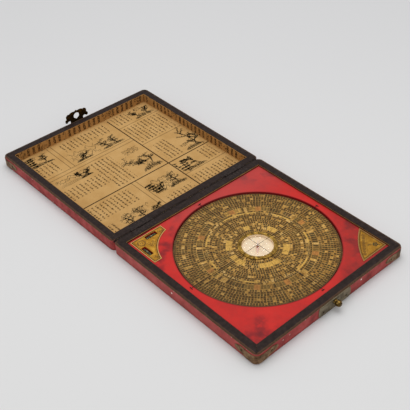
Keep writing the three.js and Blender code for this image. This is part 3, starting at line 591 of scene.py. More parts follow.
# %% Rings of the dial
ring_table = [  # inner edge, cells, marks, tone
    (21.8, 48, 60, 0.56), (24.2, 24, 66, 0.42), (27.6, 24, 78, 0.54), (31.0, 24, 84, 0.58),
    (34.4, 72, 90, 0.56), (37.4, 24, 96, 0.4), (40.4, 60, 102, 0.5), (43.4, 24, 108, 0.4),
    (46.4, 24, 108, 0.52), (49.4, 96, 96, 0.36), (52.0, 24, 120, 0.56), (54.4, 24, 144, 0.66),
    (56.2, 120, 120, 0.5), (58.8, 120, 120, 0.52), (66.0, 120, 160, 0.5), (69.0, 72, 144, 0.36),
    (72.0, 60, 144, 0.42), (75.2, 60, 160, 0.36), (78.4, 120, 160, 0.52), (81.6, 24, 160, 0.36),
    (84.6, 120, 180, 0.36), (87.4, 120, 180, 0.2), (88.9, 1, 1, 0.95),
]
ring_count, most = len(ring_table), 240  # no ring has more cells or marks than that
ring_edges = [row[0] for row in ring_table] + [dial_radius]
inner_edge, printed_width = ring_edges[0], ring_edges[-1] - ring_edges[0]
ring_stops = [((edge - inner_edge) / printed_width, (number / ring_count,) * 3)
              for number, edge in enumerate(ring_edges)]
ring_facts = [(number / ring_count, (cells / most, marks / most, tone))
              for number, (edge, cells, marks, tone) in enumerate(ring_table)]
print("rings:", ring_count, "from", inner_edge, "to", dial_radius)

# %% Polar places on the dial
place = new_finish("printed_dial", roughness=0.5, specular=0.14)
x, y, _ = split(place)
radius = from_middle(x, y)
angle = x.worked("ARCTAN2", y, x) * (0.5 / math.pi) + 0.5
ring = steps_of_colour((radius - inner_edge) / printed_width, *ring_stops) * ring_count
ring_number, in_ring = ring.whole(), ring.fraction()
middle_of_ring = (ring_number + 0.5) / ring_count
cells, marks, tone = split(steps_of_colour(middle_of_ring, *ring_facts, how="CONSTANT"))

# %% Lines and marks of the dial
ring_line = between(abs(in_ring - 0.5), 0.46, 0.49)
cell_place = angle * (cells * most)
cell_length = radius * (2 * math.pi) / (cells * most)
cell_line = ((0.5 - abs(cell_place.fraction() - 0.5)) * cell_length).below(0.2)
mark_place = angle * (marks * most)
ink = effect(printed_marks, mark_place, ring)
mark_tone, mark_weight, _ = dice(joined(mark_place.whole(), ring_number))
block = between(abs(in_ring - 0.5), 0.45, 0.41) * between(abs(mark_place.fraction() - 0.5), 0.43, 0.37)
dots = cloudy(place, 2.2, 3, 0.65)


# %% Gold and orange cells of the dial
def lit_arcs(arcs):
    """A mask that is 1 in arcs round the dial, each given by its middle and width in degrees."""
    edges = []
    for middle, width in arcs:
        start, end = (middle - width / 2 + 180) % 360, (middle + width / 2 + 180) % 360
        edges += [(start, end)] if start < end else [(0, end), (start, 360)]
    stops = [(0.0, (0, 0, 0))]
    for start, end in sorted(edges):
        stops += [(start / 360, (1, 1, 1)), (end / 360, (0, 0, 0))]
    return steps_of_colour(angle, *stops, how="CONSTANT")


def on_rings(first, last):
    return ring_number.above(first - 0.5) * ring_number.below(last + 0.5)


block_places = [(15, 20), (68, 15), (135, 29), (-178, 33), (-109, 44), (-54, 28)]
bar_places = [(15, 21), (69, 42), (127, 20), (167, 16), (-145, 21), (-76, 21), (-30, 20)]
cell_middles = [-6, 44, 72, 123, 173, -136, -106, -56]
orange_cells = on_rings(13, 13) * lit_arcs([(middle, 5.5) for middle in cell_middles])
beside_orange = on_rings(13, 13) * lit_arcs([(middle, 22) for middle in cell_middles])
golden = largest(
    on_rings(2, 3) * lit_arcs(block_places), on_rings(11, 11) * lit_arcs(bar_places), beside_orange * 0.25)

# %% Ground of the dial
uneven = cloudy(place, 5.0, 2) - 0.5
lightness = (uneven * 0.6 + (tone + (mark_tone - 0.45) * 0.4)).clamped()
faded = effect(patches, place, 30.0, 1.6)
ground = layered(
    steps_of_colour(lightness, (0.0, "8a602b"), (0.35, "bd8b3d"), (0.65, "e2ae58"), (1.0, "fad38a")),
    ("eebb58", golden, 0.85),
    ("cf8a42", orange_cells),
    ("86704f", between(y - x, -60.0, 90.0) * 0.14 + faded * 0.1))  # painted shade, greyer towards the hinge, with faded patches

# %% Ink of the dial
plain = 1.0 - largest(golden, orange_cells) * 0.85
dark_cell = product(block, plain, mark_weight.below(1.24 - tone))
dark_ink = steps_of_colour(mark_tone, (0.0, "181008"), (0.4, "30230f"), (0.7, "2b2e1a"), (1.0, "442615"))
stroke_share = between(mark_tone, 0.2, 0.9, 0.6, 0.25)
stroke_share = between(dark_cell, 0.0, 1.0, stroke_share, 0.22)
stroke_share = stroke_share * between(plain, 0.1, 1.0, 0.35, 1.0)
# painted shade towards the near and far edges of the dial
near_and_far_shade = largest(between(x + y, -40.0, -95.0) * 0.3, between(x + y, 60.0, 115.0) * 0.2)
face = layered(
    ground,
    (dark_ink, dark_cell, 0.93),
    (laid_over(dark_cell, dark_ink, "8f6f38"), ink, stroke_share),  # pale strokes on dark cells
    ("36240f", cell_line, 0.55),
    ("47351a", ring_line, 0.45),
    ("2c1f0d", between(dots, 0.54, 0.66), 0.5),
    ("e6b866", between(dots, 0.42, 0.34), 0.22),
    ("453216", near_and_far_shade),
    ("6e5637", between(radius, dial_radius - 0.9, dial_radius - 0.7)))  # the dial's side
pressed = 1.0 - largest(ink, cell_line, ring_line)
dress("printed_dial", face, between(faded, 0.1, 0.9, 0.42, 0.58), pressed, 0.08)

# %% [markdown]
# ## Brass and bronze
# Aged brass is metal with a brown film on it. The film lies in patches. Where it is thin the
# metal shows brighter and smoother, so roughness and colour change together.

# %% Metals
metals = [  # name, film, metal, rubbed parts, roughness, size of patches, metallic
    ("aged_brass", "553d29", "7e6043", "9a7c59", 0.5, 6.0, 0.6),
    ("clasp_brass", "574d3c", "776b55", "8e8268", 0.45, 7.0, 0.6),
    ("turned_brass", "291e0c", "5f4920", "b08d49", 0.26, 3.0, 0.85),
    ("dark_bronze", "1c140c", "37290f", "5d4a26", 0.45, 3.0, 0.85),
    ("blackened_steel", "1f1715", "2a201d", "3d302b", 0.58, 2.5, 0.2),
    ("bezel_brass", "54400f", "94702a", "cba54e", 0.36, 3.5, 0.6),
    ("cap_copper", "774230", "a5654a", "c98f70", 0.5, 0.8, 0.3),
    ("nail_brass", "1f170d", "382c1a", "6b5a3a", 0.42, 1.2, 0.85),
]
for name, film, metal, bright, roughness, size, metallic in metals:
    place = new_finish(name, roughness, 0.2, metallic)
    shade = effect(patches, place, size, 2.4)
    skin = layered(
        steps_of_colour(shade, (0.1, film), (0.5, metal), (0.95, bright)),
        (film, between(cloudy(place, 0.7, 4, 0.7), 0.58, 0.7), 0.5))
    sheen = between(shade, 0.1, 0.9, roughness + 0.12, roughness - 0.1)
    dress(name, skin, sheen, shade + cloudy(place, 0.5, 4), 0.03)

# %% [markdown]
# ## Compass card, needle and glass
# The card is printed with thin pink lines, and the needle is painted. The glass is clear, and
# only faint dust changes its roughness.

# %% White enamel with thin pink lines
place = new_finish("white_enamel", roughness=0.5, specular=0.2)
x, y, _ = split(place)
shade = effect(patches, place, 12.0, 1.4)
card = steps_of_colour(shade, (0.0, "fbe2c0"), (1.0, "ffebca"))
for degrees in (12, 57, 102, 147):
    off = x * math.sin(math.radians(degrees)) + y * math.cos(math.radians(degrees))
    card = layered(card, ("d8857c", between(abs(off), 0.24, 0.1), 0.4))
dress("white_enamel", card, relief=shade, depth=0.02)

# %% Painted needle
place = new_finish("painted_needle", roughness=0.4, metallic=0.1)
x, y, _ = split(place)
paint = laid_over(between(x + y, -2.0, 2.0), "f0c8b4", "f6e2cd")
dress("painted_needle", layered(paint, ("d9a58f", cloudy(place, 1.5), 0.25)))

# %% Glass
for name, tint, roughness, alpha in (
        ("clear_glass", "fdfdf8", 0.2, 0.015), ("vial_glass", "9a9a6c", 0.08, 0.35)):
    place = new_finish(name, roughness, 0.1, Transmission_Weight=1.0, IOR=1.46, Alpha=alpha)
    dust = effect(patches, place, 6.0, 2.0)
    dress(name, tint, between(dust, 0.3, 0.9, roughness, roughness + 0.05))

# %% [markdown]
# ## Twisted thread
# The sighting threads are two plies twisted together. Their material is dark noise drawn out
# level, so that fine streaks show like fibres.

# %% Thread fibre
place = new_finish("thread", roughness=0.8)
fuzz = cloudy(stretched(place, (0.6, 0.6, 3)), 0.25, 4, 0.7)
fibre = steps_of_colour(fuzz, (0.3, "180f0b"), (0.6, "2e1e16"), (0.8, "453022"))
dress("thread", fibre, relief=fuzz, depth=0.03)

# %% [markdown]
# ## The lid's paper
# The tray is lined with aged, printed paper: ruled panels, columns of small marks and little
# ink pictures. Rules and text columns are ruled areas on the floor of the tray. Up the four
# walls the print is short columns of marks, and the paper there is browner.

# %% Layout of the lid's print
thick_rules = [((0, -30), (99.5, 0.8)), ((34, -2), (0.8, 97.5))]  # middle, and reach both ways
thin_rules = [
    ((-32.5, 38), (66.5, 0.4)), ((-32.5, 44), (66.5, 0.4)), ((-24, -64), (0.4, 34)),
    ((-18, -64), (0.4, 34)), ((66.5, 22), (32.5, 0.4)), ((66.5, 70), (32.5, 0.4)),
    ((-52, 71), (0.4, 27)), ((-58, 71), (0.4, 27)), ((66.5, -62), (32.5, 0.4)),
]
text_columns = [
    ((-67, 0), (26, 11)), ((-24, 4), (14, 30)), ((-80, 60), (15, 11)), ((-10, 84), (36, 10)),
    ((66, 46), (28, 20)), ((52, -6), (12, 20)), ((84, -46), (10, 12)), ((8, -86), (20, 8)),
    ((-62, -48), (30, 13)), ((-88, -84), (7, 10)), ((50, 86), (11, 11)), ((66, -82), (28, 13)),
]
print("rules:", len(thick_rules) + len(thin_rules), "columns:", len(text_columns))


# %% Print on the tray's floor
def ruled(areas):
    return largest(*[effect(ruled_area, sheet_place, (*middle, 0), (*reach, 1)) for middle, reach in areas])


def columns_of_marks(along, up, spacing, share):
    """Marks in columns, and the mask of the columns, which fill a share of their spacing."""
    column = along / spacing
    in_column = column.fraction() / share
    marks = effect(printed_marks, column.whole() + smallest(in_column, 0.99), up)
    return marks, in_column.below(1.0)


place = new_finish("lining_paper", roughness=0.8, specular=0.1)
x, y, z = split(place)
own_y = y - lid_middle
sheet_place = joined(x, own_y)
shade = effect(patches, place, 20.0, 1.6)
floor_mask = z.below(lining_floor + 0.05)
marks, in_column = columns_of_marks(x, own_y / 4.2, 5.4, 0.52)
floor_ink = largest(
    product(marks, in_column, ruled(text_columns)), ruled(thick_rules), ruled(thin_rules) * 0.75)
paper = layered(
    steps_of_colour(shade, (0.0, "b58a50"), (0.5, "c79d62"), (1.0, "d2aa70")),
    ("946a38", between(cloudy(place, 1.6, 4, 0.7), 0.6, 0.75), 0.3),  # age specks
    ("2c1c0c", floor_ink, floor_mask, 0.94))

# %% Print up the tray's walls
print_foot, print_head = 4.0, 14.2
wall_mask = 1.0 - floor_mask
along_wall = laid_over(abs(x).above(lining_half - 0.1), x, own_y)
marks, in_column = columns_of_marks(along_wall, (z - print_foot) / 2.5, 7.6, 0.5)
marks = largest(marks, between(cloudy(place, 1.3, 2), 0.47, 0.53)) * in_column
rows = z.above(print_foot) * z.below(print_head)
clusters = between(cloudy(joined(along_wall), 24, 1), 0.53, 0.56)
scribbles = between(cloudy(place, 1.9, 3, 0.7), 0.48, 0.56) * between(cloudy(place, 8, 2), 0.42, 0.5)
paper = layered(
    paper,
    ("a57138", wall_mask, 0.62),
    ("2e1c0b", wall_mask, marks, rows, 1.0 - clusters, 0.95),
    ("38240f", wall_mask, clusters, scribbles, 0.9))
wrinkles = cloudy(place, 7.0) * 4.0 + cloudy(place, 0.6)
dress("lining_paper", paper, relief=wrinkles, depth=0.07)

# %% [markdown]
# ## Dressing the solids
# The record gives each solid the name of its finish, so the materials go on by that name.
# Solids with sharp edges look cut from glass, so the ones that show get a softened copy: the
# copy is merged, its flat faces are joined again, and a bevel rounds its edges a little.

# %% Materials by slot
slot_of = {part["node"]: part["material_slot"] for part in frame["record"]["subparts"]}
body_of = {name: node["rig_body"] for name, node in nodes.items()}
for name, node in nodes.items():
    node.data.materials.clear()
    node.data.materials.append(finishes[slot_of[name]])
print("finishes on", len(slot_of), "solids")


# %% Turning a shape into a piece
def as_piece(name, shape, body, slot, stands_for=(), finish=None, crease=35):
    """Makes an object of a bmesh, smooth but for its sharp edges, and lets it ride."""
    for face in shape.faces:
        face.smooth = True
    mesh = bpy.data.meshes.new(name)
    shape.to_mesh(mesh)
    shape.free()
    mesh.set_sharp_from_angle(angle=math.radians(crease))
    mesh.materials.append(finishes[finish or slot])
    piece = bpy.data.objects.new(name, mesh)
    bpy.context.scene.collection.objects.link(piece)
    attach(piece, body)
    if stands_for:
        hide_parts(*stands_for)
    return piece


def softened(name, width, finish=None):
    """A copy of a solid with its edges rounded by a bevel of that width in millimetres."""
    shape = bmesh.new()
    shape.from_mesh(nodes[name].data)
    bmesh.ops.remove_doubles(shape, verts=shape.verts, dist=0.002 * mm)
    bmesh.ops.dissolve_limit(
        shape, angle_limit=math.radians(0.6), verts=shape.verts, edges=shape.edges, delimit=set())
    piece = as_piece("soft_" + name, shape, body_of[name], slot_of[name], [name], finish)
    bevel = piece.modifiers.new("rounded edges", "BEVEL")
    bevel.width, bevel.segments = width * mm, 2
    bevel.limit_method, bevel.angle_limit = "ANGLE", math.radians(40)
    bevel.use_clamp_overlap = True


# %% Softened copies
for half_name in ("base", "lid"):
    for side_name in ("front", "right", "back", "left"):
        softened(f"{half_name}_wall_{side_name}", 0.35)
    softened(half_name + "_covering", 0.12)
    for side_name in ("left", "right"):
        softened(f"{half_name}_guard_{side_name}", 0.14)
softened("clasp_plate", 0.14, "clasp_brass")
for name, width in (("hasp", 0.22), ("hasp_plate", 0.14), ("level_plate", 0.12),
                    ("ornament_plate", 0.12), ("red_panel", 0.2)):
    softened(name, width)
for half_name in ("base", "lid"):
    for side_name in ("left", "right"):
        softened(f"hinge_{side_name}_{half_name}_leaf", 0.1, "blackened_steel")
for name, finish in (("hinge_left_pin", "blackened_steel"), ("hinge_right_pin", "blackened_steel"),
                     ("needle_cap", "cap_copper")):
    nodes[name].data.materials[0] = finishes[finish]
print("softened copies made")

# %% [markdown]
# ## Turned pieces
# The knob, the bezel and the nail heads are round, as turned on a lathe. A profile of a few
# points is spun once round its axis, its first and last lines are merged, and the normals
# are turned outwards.


# %% Spinning a profile
def spun(profile, steps):
    """A closed solid of revolution about Z from [radius, height] points in millimetres."""
    shape = bmesh.new()
    points = [shape.verts.new((r * mm, 0, z * mm)) for r, z in profile]
    lines = [shape.edges.new(pair) for pair in zip(points, points[1:])]
    bmesh.ops.spin(
        shape, geom=points + lines, cent=(0, 0, 0), axis=(0, 0, 1), angle=2 * math.pi,
        steps=steps, use_merge=True, use_duplicate=False)
    bmesh.ops.remove_doubles(shape, verts=shape.verts, dist=0.004 * mm)
    bmesh.ops.recalc_face_normals(shape, faces=shape.faces)
    return shape


def rounded(points):
    """Cuts the corners of a profile twice, which leaves a smooth curve."""
    for _ in range(2):
        finer = [points[0]]
        for (r0, z0), (r1, z1) in zip(points, points[1:]):
            finer += [(0.75 * r0 + 0.25 * r1, 0.75 * z0 + 0.25 * z1),
                      (0.25 * r0 + 0.75 * r1, 0.25 * z0 + 0.75 * z1)]
        points = finer + [points[-1]]
    return points


# %% Moving and joining shapes
def moved(x, y, z):
    return Matrix.Translation(Vector((x, y, z)) * mm)


def turned(degrees, axis):
    return Matrix.Rotation(math.radians(degrees), 4, axis)


def set_in_place(shape, place):
    bmesh.ops.transform(shape, matrix=place, verts=shape.verts)
    return shape


def add_shape(whole, shape):
    """Adds a shape to a whole one and lets go of it."""
    mesh = bpy.data.meshes.new("shape")
    shape.to_mesh(mesh)
    shape.free()
    whole.from_mesh(mesh)
    bpy.data.meshes.remove(mesh)


# %% Knob
knob_low, knob_high = corners("clasp_knob")
knob_face = corners("clasp_plate")[0].y + 0.4
knob_out = knob_face - knob_low.y
knob_profile = rounded([
    (2.95, 0.05), (2.95, 0.5), (2.75, 0.85), (2.3, 1.1), (2.25, 1.75), (2.7, 2.15),
    (3.4, 2.35), (3.7, 2.75), (3.78, 3.5), (3.74, 4.4), (3.55, 5.4), (3.15, 6.6),
    (2.6, 7.4), (1.7, 7.95), (0.7, knob_out), (0.0, knob_out)])
tenon = [(0.0, -3.9), (1.45, -3.9), (1.45, 0.05)]
towards_front = moved(0, knob_face, (knob_low.z + knob_high.z) / 2) @ turned(90, "X")
knob = set_in_place(spun(tenon + knob_profile, 48), towards_front)
as_piece("knob", knob, "base", "turned_brass", ["clasp_knob"])
print("knob stands out", round(knob_out, 2), "mm")

# %% Nails
head_height = 0.6
nail_profile = [(0, -3.1), (0.45, -2.6), (0.45, 0.05)] + rounded(
    [(1.08, 0.05), (1.08, 0.2), (0.9, 0.42), (0.5, 0.57), (0, head_height)])


def nails(body):
    """Domed nails, one for each of a half's nails, joined in one piece."""
    everything = bmesh.new()
    stand_for = [name for name in nodes if "nail" in name and body_of[name] == body]
    for name in stand_for:
        low, high = corners(name)
        foot = (low + high) / 2
        from_half = foot - Vector((0, lid_middle if body == "lid" else 0, 0))
        long_way = max(range(3), key=lambda axis: (high - low)[axis])
        outward = Vector((0, 0, 0))
        outward[long_way] = math.copysign(1, from_half[long_way])
        tip = (high if outward[long_way] > 0 else low)[long_way]
        foot[long_way] = tip - head_height * outward[long_way]
        turn = Vector((0, 0, 1)).rotation_difference(outward).to_matrix().to_4x4()
        add_shape(everything, set_in_place(spun(nail_profile, 16), moved(*foot) @ turn))
    as_piece(body + "_nails", everything, body, "aged_brass", stand_for, "nail_brass")
    print(body, "nails:", len(stand_for))


nails("base")
nails("lid")

# %% Bezel
bezel_low, bezel_high = corners("compass_bezel")
foot, top = bezel_low.z, bezel_high.z
bezel_profile = [
    (20.9, foot), (21.8, foot), (21.8, top - 0.42), (21.62, top - 0.14), (21.2, top), (20.6, top),
    (20.15, top - 0.16), (19.95, top - 0.3), (19.7, top - 0.3), (19.5, top - 0.14),
    (19.1, top - 0.02), (18.6, top - 0.02), (18.2, top - 0.14), (17.95, top - 0.3),
    (17.55, top - 0.36), (17.4, top - 0.36), (17.4, top - 0.35), (20.9, top - 0.35), (20.9, foot),
]
as_piece("bezel", spun(bezel_profile, 128), "dial", "turned_brass", ["compass_bezel"], "bezel_brass", 50)
print("bezel top at", round(top, 2))

# %% [markdown]
# ## Threads
# Each thread is two plies wound round each other. A small disc is spun round the thread's line
# while it moves along, like a screw, and the two ends are then bent down into their holes.


# %% Twisted threads
def twisted_thread(name, along_x):
    """A two-ply thread where its solid lies, with both ends bent down."""
    low, high = corners(name)
    radius, bend, pitch = 0.28, 0.7, 1.7
    ply_radius, ply_offset = radius * 0.53, radius * 0.46
    height = high.z - radius
    straight = (high.x if along_x else high.y) - radius - bend
    quarter_bend = bend * math.pi / 2
    length = straight + quarter_bend + (height - bend - low.z)
    turns = 2 * length / pitch
    steps = int(turns * 8)
    thread = bmesh.new()
    for side in (-1, 1):
        ply = bmesh.ops.create_circle(thread, segments=6, radius=ply_radius * mm, cap_ends=True)["verts"]
        start = moved(-length, side * ply_offset, 0) @ turned(90, "Y")
        bmesh.ops.transform(thread, matrix=start, verts=ply)
        faces = list({face for vert in ply for face in vert.link_faces})
        edges = list({edge for face in faces for edge in face.edges})
        bmesh.ops.spin(
            thread, geom=ply + edges + faces, cent=(0, 0, 0), axis=(1, 0, 0), steps=steps,
            dvec=(2 * length / steps * mm, 0, 0), angle=2 * math.pi * turns, use_duplicate=False)
    for vert in thread.verts:
        x, y, z = vert.co / mm
        past = abs(x) - straight
        if past > 0:
            turn = min(past, quarter_bend) / bend
            down = max(past - quarter_bend, 0)
            out = straight + (bend + z) * math.sin(turn)
            vert.co = Vector((math.copysign(out, x), y, (bend + z) * math.cos(turn) - bend - down)) * mm
    bmesh.ops.recalc_face_normals(thread, faces=thread.faces)
    print(name, "turns", round(turns), "faces", len(thread.faces))
    place = moved(0, 0, height) @ turned(0 if along_x else 90, "Z")
    as_piece("twisted_" + name, set_in_place(thread, place), "base", "thread", [name])


twisted_thread("thread_left_right", True)
twisted_thread("thread_front_back", False)

# %% Stitches at the holes
stitches = bmesh.new()
hole_reach = corners("thread_left_right")[1].x
stitch_profile = rounded([(0, -2.3), (0.4, -2.1), (0.44, 0), (0.4, 2.1), (0, 2.3)])
lying_out = moved(hole_reach, 0, panel_top + 0.4) @ turned(80, "X")
for number in range(4):
    add_shape(stitches, set_in_place(spun(stitch_profile, 8), turned(90 * number, "Z") @ lying_out))
as_piece("thread_stitches", stitches, "base", "thread")
print("stitches at", hole_reach)

# %% [markdown]
# ## Spirit levels
# A vial is a closed glass tube of coloured spirit with a bubble in it and two rings that the
# bubble is read against. The tube is spun, the rings are thin hoops round it, and the bubble
# is a small flattened drop under the top of the glass.

# %% Spirit, bubble, ring ink and emblem ink
for name, roughness, specular, size, detail, *stops in (
        ("spirit", 0.3, 0.3, 2.5, 3, (0.3, "38371f"), (0.6, "55522f"), (0.8, "766f4a")),
        ("bubble", 0.3, 0.3, 1.5, 2, (0.3, "8d8868"), (0.8, "b5b193")),
        ("vial_ink", 0.5, 0.5, 0.6, 2, (0.3, "0d0c0a"), (0.8, "26221c")),
        ("dark_emblem", 0.5, 0.2, 1.4, 3, (0.35, "1f2417"), (0.65, "3f3a1c"))):
    place = new_finish(name, roughness, specular)
    dress(name, steps_of_colour(cloudy(place, size, detail), *stops))


# %% Spirit level pieces
glass_thickness, end_gap, ring_reach, bubble_depth = 0.45, 0.6, 2.4, 0.62


def rod(radius, half_length, end_share, shoulder, steps):
    """A rod along Z whose ends are rounded, from a share of its radius to its shoulder."""
    upper = [(radius, half_length - shoulder), (radius * end_share, half_length), (0, half_length)]
    lower = [(r, -z) for r, z in reversed(upper)]
    return spun(rounded(lower + [(radius, 0)] + upper), steps)


def spirit_level(name):
    """A glass vial on its side, with its spirit, two rings and a bubble."""
    low, high = corners(name)
    size = high - low
    turn = turned(90, "Y") if size.x > size.y else turned(-90, "X")
    place = moved(*(low + high) / 2) @ turn
    half_length, radius = max(size.x, size.y) / 2, size.z / 2
    core = radius - glass_thickness
    tube = rod(radius, half_length, 0.75, 0.9, 32)
    as_piece(name + "_tube", set_in_place(tube, place), "base", "vial_glass", [name])
    spirit = rod(core, half_length - end_gap, 0.8, 0.8, 28)
    as_piece(name + "_spirit", set_in_place(spirit, place), "base", "vial_glass", (), "spirit")
    inner, outer, half_width = radius + 0.01, radius + 0.06, 0.2
    for side, letter in ((-1, "a"), (1, "b")):
        hoop = spun([(inner, -half_width), (outer, -half_width), (outer, half_width),
                     (inner, half_width), (inner, -half_width)], 32)
        set_in_place(hoop, place @ moved(0, 0, side * ring_reach))
        as_piece(f"{name}_ring_{letter}", hoop, "base", "vial_glass", (), "vial_ink")
    bubble = bmesh.new()
    bmesh.ops.create_uvsphere(bubble, u_segments=24, v_segments=12, radius=mm)
    bmesh.ops.scale(bubble, vec=(0.75, 0.9, 1.9), verts=bubble.verts)
    under_glass = turn.inverted() @ Vector((0, 0, core - bubble_depth))
    set_in_place(bubble, place @ moved(*under_glass))
    as_piece(name + "_bubble", bubble, "base", "vial_glass", (), "bubble")


spirit_level("level_vial_hinge_side")
spirit_level("level_vial_left_side")
print("spirit levels in place")

# %% [markdown]
# ## Brush pictures and engraving
# Between its columns of print the lining has small ink pictures of trees, rocks and hills, and
# the gilt plates have engraved scrolls. Both are lines that swell and thin like a brush. Each
# line is a strip of a grid pulled along its path, and all strips get a hair's thickness, so
# the lines are solid and lie on what carries them.


# %% Strokes of a brush
stroke_thickness = 0.03


def stroke_piece(name, drawn, level, body, slot, finish):
    """Flat strokes at a height in millimetres, each from its path and its width."""
    everything = bmesh.new()
    for last in sorted({len(points) - 1 for points, width in drawn}):
        alike = [stroke for stroke in drawn if len(stroke[0]) == last + 1]
        grid = bmesh.ops.create_grid(
            everything, x_segments=last, y_segments=2 * len(alike) - 1, size=1)["verts"]
        owner = {}
        for order, vert in enumerate(grid):
            row, number = divmod(order, last + 1)
            points, width = alike[row // 2]
            owner[vert] = row // 2
            before, after = points[max(number - 1, 0)], points[min(number + 1, last)]
            run_x, run_y = after[0] - before[0], after[1] - before[1]
            swell = width / 2 * (0.45 + 0.55 * math.sin(math.pi * (0.08 + 0.84 * number / last)))
            off = (swell if row % 2 else -swell) / max(math.hypot(run_x, run_y), 1e-6)
            x, y = points[number]
            vert.co = Vector((x - run_y * off, y + run_x * off, level)) * mm
        gaps = [face for face in {face for vert in grid for face in vert.link_faces}
                if len({owner[vert] for vert in face.verts}) > 1]
        bmesh.ops.delete(everything, geom=gaps, context="FACES")
    bmesh.ops.recalc_face_normals(everything, faces=everything.faces)
    bmesh.ops.solidify(everything, geom=everything.faces[:], thickness=stroke_thickness * mm)
    bmesh.ops.recalc_face_normals(everything, faces=everything.faces)
    low = min(vert.co.z for vert in everything.verts)
    bmesh.ops.translate(everything, vec=(0, 0, level * mm - low), verts=everything.verts)
    print(name + ":", len(drawn), "strokes,", len(everything.faces), "faces")
    as_piece(name, everything, body, slot, (), finish)


def curl(x, y, start, end, radius, inner=1.0, steps=10):
    """Points round a spot from one angle to another, while the radius shrinks."""
    angles = [math.radians(start + (end - start) * n / steps) for n in range(steps + 1)]
    radii = [radius * (1 + (inner - 1) * n / steps) for n in range(steps + 1)]
    return [(x + r * math.cos(a), y + r * math.sin(a)) for a, r in zip(angles, radii)]


def petals(x, y, count, first, sweep, out, radius, width):
    """Curled petals round a spot, the first one at an angle."""
    found = []
    for number in range(count):
        angle = first + number * 360 / count
        petal_x = x + out * math.cos(math.radians(angle))
        petal_y = y + out * math.sin(math.radians(angle))
        found.append((curl(petal_x, petal_y, angle + sweep, angle - sweep, radius), width))
    return found


# %% Engraved scrolls
place = new_finish("engraved_line", roughness=0.6, specular=0.2)
worn_line = effect(patches, place, 3.0, 2.0)
dress("engraved_line", steps_of_colour(worn_line, (0.1, "3b2713"), (0.6, "5c4020"), (1.0, "80602c")))

scrolls = [(curl(-88, 88, 0, 360, 4.7, 1.0, 28), 0.5), (curl(-88, 88, 0, 360, 1.2, 1.0, 12), 0.8)]
scrolls += petals(-88, 88, 8, 0, 120, 2.9, 1.15, 0.6)
for x, y, size, start in (
        (-82, 82, 2.4, 60), (-79.2, 79.2, 2.0, 240), (-77.4, 82.4, 1.6, 150), (-82.4, 77.4, 1.6, 300),
        (-90.8, 62.4, 2.1, 90), (-62.4, 90.8, 2.1, 0), (-89.4, 58.9, 1.3, 250), (-58.9, 89.4, 1.3, 200)):
    branch = curl(x + size * 0.9, y - size * 0.9, start + 90, start + 250, size * 0.7, 0.6, 8)
    scrolls += [(curl(x, y, start, start + 400, size, 0.3, 16), 0.55), (branch, 0.4)]
stroke_piece("level_plate_scrolls", scrolls, plate_top, "base", "gilt", "engraved_line")

# %% Engraved frets
frets = []
fret_hook = [(-1.4, -1.7), (-1.4, 1.7), (1.0, 1.7), (1.0, -0.9), (-0.3, -0.9), (-0.3, 0.6)]
along_x, along_y = -0.72, -0.69
for number in range(8):
    x, y = 92.6 - 21.4 * number / 7, -69.4 - 20.6 * number / 7
    hook = [(x + a * along_x + b * along_y, y + a * along_y - b * along_x) for a, b in fret_hook]
    frets.append((hook, 0.75))
frets += [([(94.6, -66.6), (68.8, -91.4)], 0.35), ([(96.6, -69.4), (71.6, -93.4)], 0.3)]
stroke_piece("ornament_plate_frets", frets, plate_top, "base", "gilt", "engraved_line")

# %% Painted blossom
blossom = [(curl(91, -87.4, 0, 360, 0.6, 1.0, 10), 0.9)] + petals(91, -87.4, 5, 20, 150, 1.9, 0.8, 1.0)
blossom += [([(89.4, -85.6), (87.4, -83.6), (85.6, -82.4), (84.2, -82.2)], 0.7),
            (curl(84.6, -83.2, 90, 320, 1.0, 0.5, 8), 0.5),
            ([(92.6, -88.8), (94.0, -90.6), (93.8, -92.0)], 0.6)]
stroke_piece("ornament_plate_blossom", blossom, plate_top, "base", "gilt", "dark_emblem")

# %% What a brush draws
brush = random.Random(11)


def wander(start, heading, length, bend, steps):
    """Points that wander off from a start, in a heading that keeps bending a little."""
    points, (x, y) = [start], start
    for _ in range(steps):
        heading += brush.uniform(-bend, bend)
        x += length / steps * math.cos(math.radians(heading))
        y += length / steps * math.sin(math.radians(heading))
        points.append((x, y))
    return points


def foliage(x, y, wide, tall, count):
    """Short dabs that fill a flat cloud, as needles and leaves are printed."""
    found = []
    for _ in range(count):
        turn, out = brush.uniform(0, 2 * math.pi), math.sqrt(brush.random())
        spot = (x + wide * out * math.cos(turn), y + tall * out * math.sin(turn))
        dab = wander(spot, brush.uniform(0, 360), brush.uniform(0.9, 2.0), 25, 2)
        found.append((dab, brush.uniform(0.45, 0.8)))
    return found


# %% Trees
def pine(x, y, height, lean):
    trunk = wander((x, y), 90 - lean, height * 0.75, 18, 8)
    found = [(trunk, 1.3), ([(px + 0.9, py) for px, py in trunk], 0.5)]
    for number in range(3, 9):
        side = 1 if number % 2 else -1
        heading = 90 - lean + side * brush.uniform(45, 85)
        bough = wander(trunk[number], heading, height * brush.uniform(0.18, 0.34), 18, 4)
        found.append((bough, 0.6))
        for spot in bough[1::2]:
            found += foliage(*spot, height * 0.12, height * 0.07, 11)
    return found


def bamboo(x, y, height):
    found = []
    for stem in range(4):
        line = wander((x + stem * height * 0.1, y), 90 + brush.uniform(-10, 10), height, 4, 5)
        found += [([a, b], 0.7) for a, b in zip(line, line[1:])]
        for joint in line[1:]:
            for _ in range(7):
                heading = brush.choice((-40, 220)) + brush.uniform(-40, 40)
                found.append((wander(joint, heading, height * brush.uniform(0.1, 0.18), 8, 3), 0.9))
    return found


